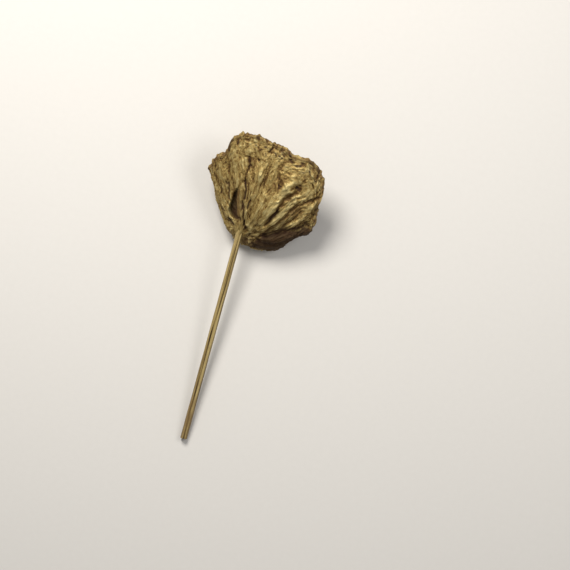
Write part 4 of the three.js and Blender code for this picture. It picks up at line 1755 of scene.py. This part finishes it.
@dataclass
class Stem:
    """The straight dried stem, ribbed, with one deep groove along its upper side.

    Attributes:
        length, radius, tenon: its sizes, with the tenon beyond the joint.
        groove: the deep groove, which wanders, darkened as painted shade.
        painted_highlight: the painted highlight, a bright strip that runs beside the groove.
            right, left: two shallow flutes, darkened as painted shade.
        level_crease: the shading mark between the ribs and grooves.
        rib_crease: what a rib adds to it, as painted highlight and shade.
        swell: how far the radius swells and shrinks slowly, as a share.
        rib_height: height of the fine ribs.
        plain_share: the plain radius as a share of the stem's.
        flare: how much wider the stem is at the joint, and flare_reach how far.
        pith_sink: how far the pith of the cut end is sunk.
        pith_holes: how many air channels the pith shows.
        hole_depth: how deep they are.
        cap_shares: the radii of the cut end's rings, as shares of its own.
        cap_crease: the crease mark on the cut end.
        fibre_radius: radius of the cylinder that the fibre mark lies on.
        fibre_step: millimetres of the stem for one unit of the fibre mark.
    """

    length: float = STEM_LENGTH
    radius: float = STEM_RADIUS
    tenon: float = STEM_TENON
    # The groove and the two flutes darken the shading mark as painted shade; the band after the
    # groove brightens it as a painted highlight
    groove: Band = Band(math.pi / 2, 0.22, 0.4, -0.30)
    painted_highlight: Band = Band(math.pi / 2 - 0.52, 0.16, 0.0, 0.24)
    right: Band = Band(0.35, 0.3, 0.25, -0.40)
    left: Band = Band(2.9, 0.25, 0.2, -0.34)
    level_crease: float = 0.55
    rib_crease: float = 0.34
    swell: float = 0.05
    rib_height: float = 0.07
    plain_share: float = 0.985
    flare: float = 0.15
    flare_reach: float = 3.2
    pith_sink: float = 0.5
    pith_holes: int = 6
    hole_depth: float = 1.3
    cap_shares: tuple[float, ...] = (0.97, 0.9, 0.8, 0.7, 0.6, 0.5, 0.4, 0.3, 0.2, 0.1)
    cap_crease: float = 0.4
    fibre_radius: float = 7.0
    fibre_step: float = 12.0
    columns: int = 84
    rows: int = 520

    def turned(self, grid: Grid) -> Array:
        """Angles less the groove's wander, which is two sines along the stem.

        Args:
            grid: angles by distances from the joint.

        Returns:
            The angles in radians.
        """
        reach = grid.along
        wander = 0.26 * np.sin(reach / 31.0 - 1.2) + 0.08 * np.sin(reach / 9.0 + 1.0)
        return grid.angle - wander

    def sunk_groove(self, grid: Grid) -> Array:
        """The deep groove's shape, which fades towards the joint."""
        grown = 0.25 + 0.75 * smoothstep(grid.along, 4.0, 45.0)
        return self.groove.shape(self.turned(grid)) * grown

    def ribs(self, grid: Grid) -> Array:
        """Fine ribs: two noises that change much faster round the stem than along it.

        Args:
            grid: angles by distances from the joint.

        Returns:
            The ribs' height, roughly between -1.5 and 1.5.
        """
        turn = np.mod(grid.angle / (2 * np.pi), 1.0)
        wide = ripple(turn, grid.along / 40.0, (16, 1.0), 11.0)
        return wide + 0.5 * ripple(turn, grid.along / 18.0, (34, 1.0), 12.0)

    def girth(self, grid: Grid) -> Array:
        """The stem's radius at each point.

        It is the plain radius with slow swellings and fine ribs, less the groove and the
        flutes, never more than the stem's radius, and flared at the joint by a falling
        exponential of the distance.

        Args:
            grid: angles by distances from the joint.

        Returns:
            The radius in millimetres.
        """
        reach = grid.along
        swell = self.swell * ripple(np.zeros_like(reach), reach / 14.0, (1, 1.0), 13.0)
        radius = self.radius * (self.plain_share + swell) + self.rib_height * self.ribs(grid)
        radius = radius - self.groove.depth * self.sunk_groove(grid)
        for flute in (self.right, self.left):
            radius = radius - flute.depth * flute.shape(grid.angle)
        flared = 1 + self.flare * np.exp(-np.clip(reach, 0, None) / self.flare_reach)
        return np.minimum(radius, self.radius) * flared

    def fibre(self, grid: Grid) -> Array:
        """The place on a cylinder that is stretched along the stem.

        Args:
            grid: angles by distances from the joint.

        Returns:
            Places of three numbers.
        """
        across, up = np.cos(grid.angle), np.sin(grid.angle)
        along = grid.along / self.fibre_step
        return np.stack([self.fibre_radius * across, self.fibre_radius * up, along], axis=-1)

    def on_side(self, grid: Grid) -> Marks:
        """The marks along the stem: painted highlight on the ribs and on the strip beside the
        groove, and painted shade between the ribs, in the groove and in the flutes.

        Args:
            grid: angles by distances from the joint.

        Returns:
            The marks.
        """
        reach = grid.along
        # The groove's painted shade gets darker down the stem
        darker = 1 + 0.4 * smoothstep(reach, 15.0, 70.0)
        painted_highlight = self.painted_highlight.shape(self.turned(grid)) * smoothstep(reach, 20.0, 45.0)
        left = self.left.shape(grid.angle) * smoothstep(reach, 20.0, 60.0)
        crease = self.level_crease + self.rib_crease * self.ribs(grid)
        crease += self.groove.crease * darker * self.sunk_groove(grid)
        crease += self.right.crease * self.right.shape(grid.angle)
        crease += self.left.crease * left + self.painted_highlight.crease * painted_highlight
        return {
            "crease": crease,
            "along": np.clip(reach / self.length, 0, 1),
            "bare": np.zeros_like(reach),
            "fibre": self.fibre(grid),
        }

    def on_cap(self, turn: Array) -> Marks:
        """The cut end's marks, all of it bare pith.

        Args:
            turn: the angle of each column.

        Returns:
            The marks.
        """
        grid = Grid.of(turn, np.full(len(self.cap_shares), self.length))
        one = np.ones_like(grid.along)
        return {
            "crease": self.cap_crease * one,
            "along": one,
            "bare": one,
            "fibre": self.fibre(grid),
        }

    def cap(self, edge: Array, turn: Array, axis: Array) -> Array:
        """Rings that close the cut end: a flat rim round a slightly hollow, holed pith.

        Args:
            edge: the stem's last ring.
            turn: the angle of each of its points.
            axis: the stem's direction.

        Returns:
            The rings, sunk by a smooth step and by a bell for each air channel.
        """
        shares = np.array(self.cap_shares)
        centre = JOINT + axis * self.length
        round_holes = np.clip(np.cos(self.pith_holes * turn), 0, 1)[:, None]
        holes = round_holes * bump(shares, 0.55, 0.14)[None, :]
        sink = self.pith_sink * smoothstep(1 - shares, 0.1, 0.4)[None, :]
        sink = sink + self.hole_depth * holes**2
        rings = centre + (edge[:, None] - centre) * shares[None, :, None]
        return rings - axis * sink[..., None]

    def build(self, paint: bpy.types.Material) -> bpy.types.Object:
        """Carry the ribbed outline along the stem, and close its cut end.

        Args:
            paint: its finish.

        Returns:
            The object that stands for the node.
        """
        axis = np.array([0.0, -math.cos(STEM_SLOPE), -math.sin(STEM_SLOPE)])
        across = np.array([1.0, 0.0, 0.0])
        up = np.cross(axis, across)
        turn = 2 * np.pi * np.arange(self.columns) / self.columns
        grid = Grid.of(turn, np.linspace(-self.tenon, self.length, self.rows))
        ring = np.cos(grid.angle)[..., None] * across + np.sin(grid.angle)[..., None] * up
        points = JOINT + axis * grid.along[..., None] + ring * self.girth(grid)[..., None]
        points = np.concatenate([points, self.cap(points[:, -1], turn, axis)], axis=1)
        marks = joined([self.on_side(grid), self.on_cap(turn)])
        skin = Skin(
            points[::-1],
            JOINT - axis * self.tenon,
            JOINT + axis * (self.length - self.pith_sink),
            {name: values[::-1] for name, values in marks.items()},
        )
        return dress(skin.build("stem_skin"), "stem", paint)


# The set


@dataclass(frozen=True)
class Lamp:
    """A round soft light: its place from the aim and width in millimetres, and watts."""

    name: str
    across: float
    up: float
    height: float
    size: float
    power: float
    colour: Colour


@dataclass
class Studio:
    """Pale floor, soft light and a camera that looks straight down.

    Attributes:
        picture_px, picture_mm: the picture's width in pixels and on the subject.
        joint_px: where the joint appears in the picture.
        stem_lean: degrees by which the stem leans in the picture.
        camera_height, subject_height, sensor: millimetres.
        view_end: how far the camera sees, in metres.
        floor_half: half the floor's width, in metres.
        floor_drop: how far the floor is under the part, in metres.
        floor_grain: cells of the floor's grain in a metre.
        sky: strength of the even light from all round.
        lamps: the lights, which point at lamp_aim from the joint.
    """

    picture_px: float = 570.0
    picture_mm: float = 342.0
    joint_px: tuple[float, float] = (240.0, 231.0)
    stem_lean: float = 15.36
    camera_height: float = 2500.0
    subject_height: float = 22.0
    sensor: float = 36.0
    view_end: float = 20.0
    floor_colour: Colour = (0.62, 0.60, 0.57)
    floor_half: float = 3.0
    floor_drop: float = 0.0002
    floor_grain: float = 300.0
    sky: float = 0.30
    lamps: tuple[Lamp, ...] = (
        Lamp("key", -200, 500, 640, 360, 7.8, (1.0, 0.97, 0.92)),
        Lamp("fill", 480, 160, 700, 420, 2.4, (1.0, 0.98, 0.95)),
    )
    lamp_aim: tuple[float, float, float] = (0.0, 20.0, 0.0)

    def axes(self) -> tuple[Array, Array]:
        """The picture's right and up directions on the floor.

        Returns:
            Two unit vectors in the row's frame.
        """
        lean = math.radians(self.stem_lean)
        right = np.array([math.cos(lean), math.sin(lean), 0.0])
        up = np.array([-math.sin(lean), math.cos(lean), 0.0])
        return right, up

    def aim(self) -> Array:
        """The point under the picture's middle, found from where the joint appears.

        Returns:
            The point on the floor, millimetres.
        """
        right, up = self.axes()
        scale = self.picture_mm / self.picture_px
        across = (self.picture_px / 2 - self.joint_px[0]) * scale
        down = (self.picture_px / 2 - self.joint_px[1]) * scale
        return JOINT * np.array([1, 1, 0]) + right * across - up * down

    def camera(self) -> None:
        """Stand the camera over the aim, turned so that the stem leans as pictured."""
        data = bpy.data.cameras.new("camera")
        data.sensor_width = self.sensor
        data.lens = self.sensor * (self.camera_height - self.subject_height) / self.picture_mm
        data.clip_end = self.view_end
        camera = bpy.data.objects.new("camera", data)
        place = self.aim() + np.array([0, 0, self.camera_height])
        camera.location = Vector(place * MM)
        camera.rotation_euler = (0.0, 0.0, math.radians(self.stem_lean))
        bpy.context.scene.collection.objects.link(camera)
        bpy.context.scene.camera = camera

    def light(self, lamp: Lamp) -> None:
        """Add an area light, placed from the aim and pointed at the pod.

        Args:
            lamp: its place, size, power and colour.
        """
        right, up = self.axes()
        place = self.aim() + right * lamp.across + up * lamp.up + np.array([0, 0, lamp.height])
        data = bpy.data.lights.new(lamp.name, "AREA")
        data.shape = "DISK"
        data.size = lamp.size * MM
        data.energy = lamp.power
        data.color = lamp.colour
        light = bpy.data.objects.new(lamp.name, data)
        light.location = Vector(place * MM)
        way = Vector((JOINT + np.array(self.lamp_aim)) * MM) - light.location
        light.rotation_euler = way.to_track_quat("-Z", "Y").to_euler()
        bpy.context.scene.collection.objects.link(light)

    def floor(self) -> None:
        """Lay a square of faintly grained paper just under the part."""
        half = self.floor_half
        mesh = bpy.data.meshes.new("floor")
        corners = [(-half, -half, 0), (half, -half, 0), (half, half, 0), (-half, half, 0)]
        mesh.from_pydata(corners, [], [(0, 1, 2, 3)])
        floor = bpy.data.objects.new("floor", mesh)
        floor.location.z = -self.floor_drop
        shader = Shader("floor paper")
        grain = shader.noise(shader.object_place(), self.floor_grain)
        paper = shader.mix(grain, self.floor_colour, tuple(c * 0.96 for c in self.floor_colour))
        floor.data.materials.append(shader.finish(paper, 0.8, 0.0))
        bpy.context.scene.collection.objects.link(floor)

    def world(self) -> None:
        """Light the set evenly from all round with white."""
        world = bpy.data.worlds.new("studio")
        world.use_nodes = True
        background = world.node_tree.nodes["Background"]
        background.inputs["Color"].default_value = (1, 1, 1, 1)
        background.inputs["Strength"].default_value = self.sky
        bpy.context.scene.world = world
        bpy.context.scene.view_settings.view_transform = "Standard"

    def build(self) -> None:
        """Make the floor, the world, the lights and the camera."""
        self.floor()
        self.world()
        for lamp in self.lamps:
            self.light(lamp)
        self.camera()


def main() -> None:
    """Build the pod, its seeds and its stem, and the set round them."""
    Studio().build()
    wall = PodWall()
    rows = SeedRows()
    Receptacle(wall, rows).build(GoldPaint().make())
    Stem().build(StemPaint().make())
    shell = SeedShell().make()
    mouths = rows.mouths(wall)
    for number, (mouth, axis) in enumerate(zip(mouths, rows.axes(mouths)), start=1):
        Seed(rows).build(number, mouth, axis, shell)


if __name__ == "__main__":
    main()
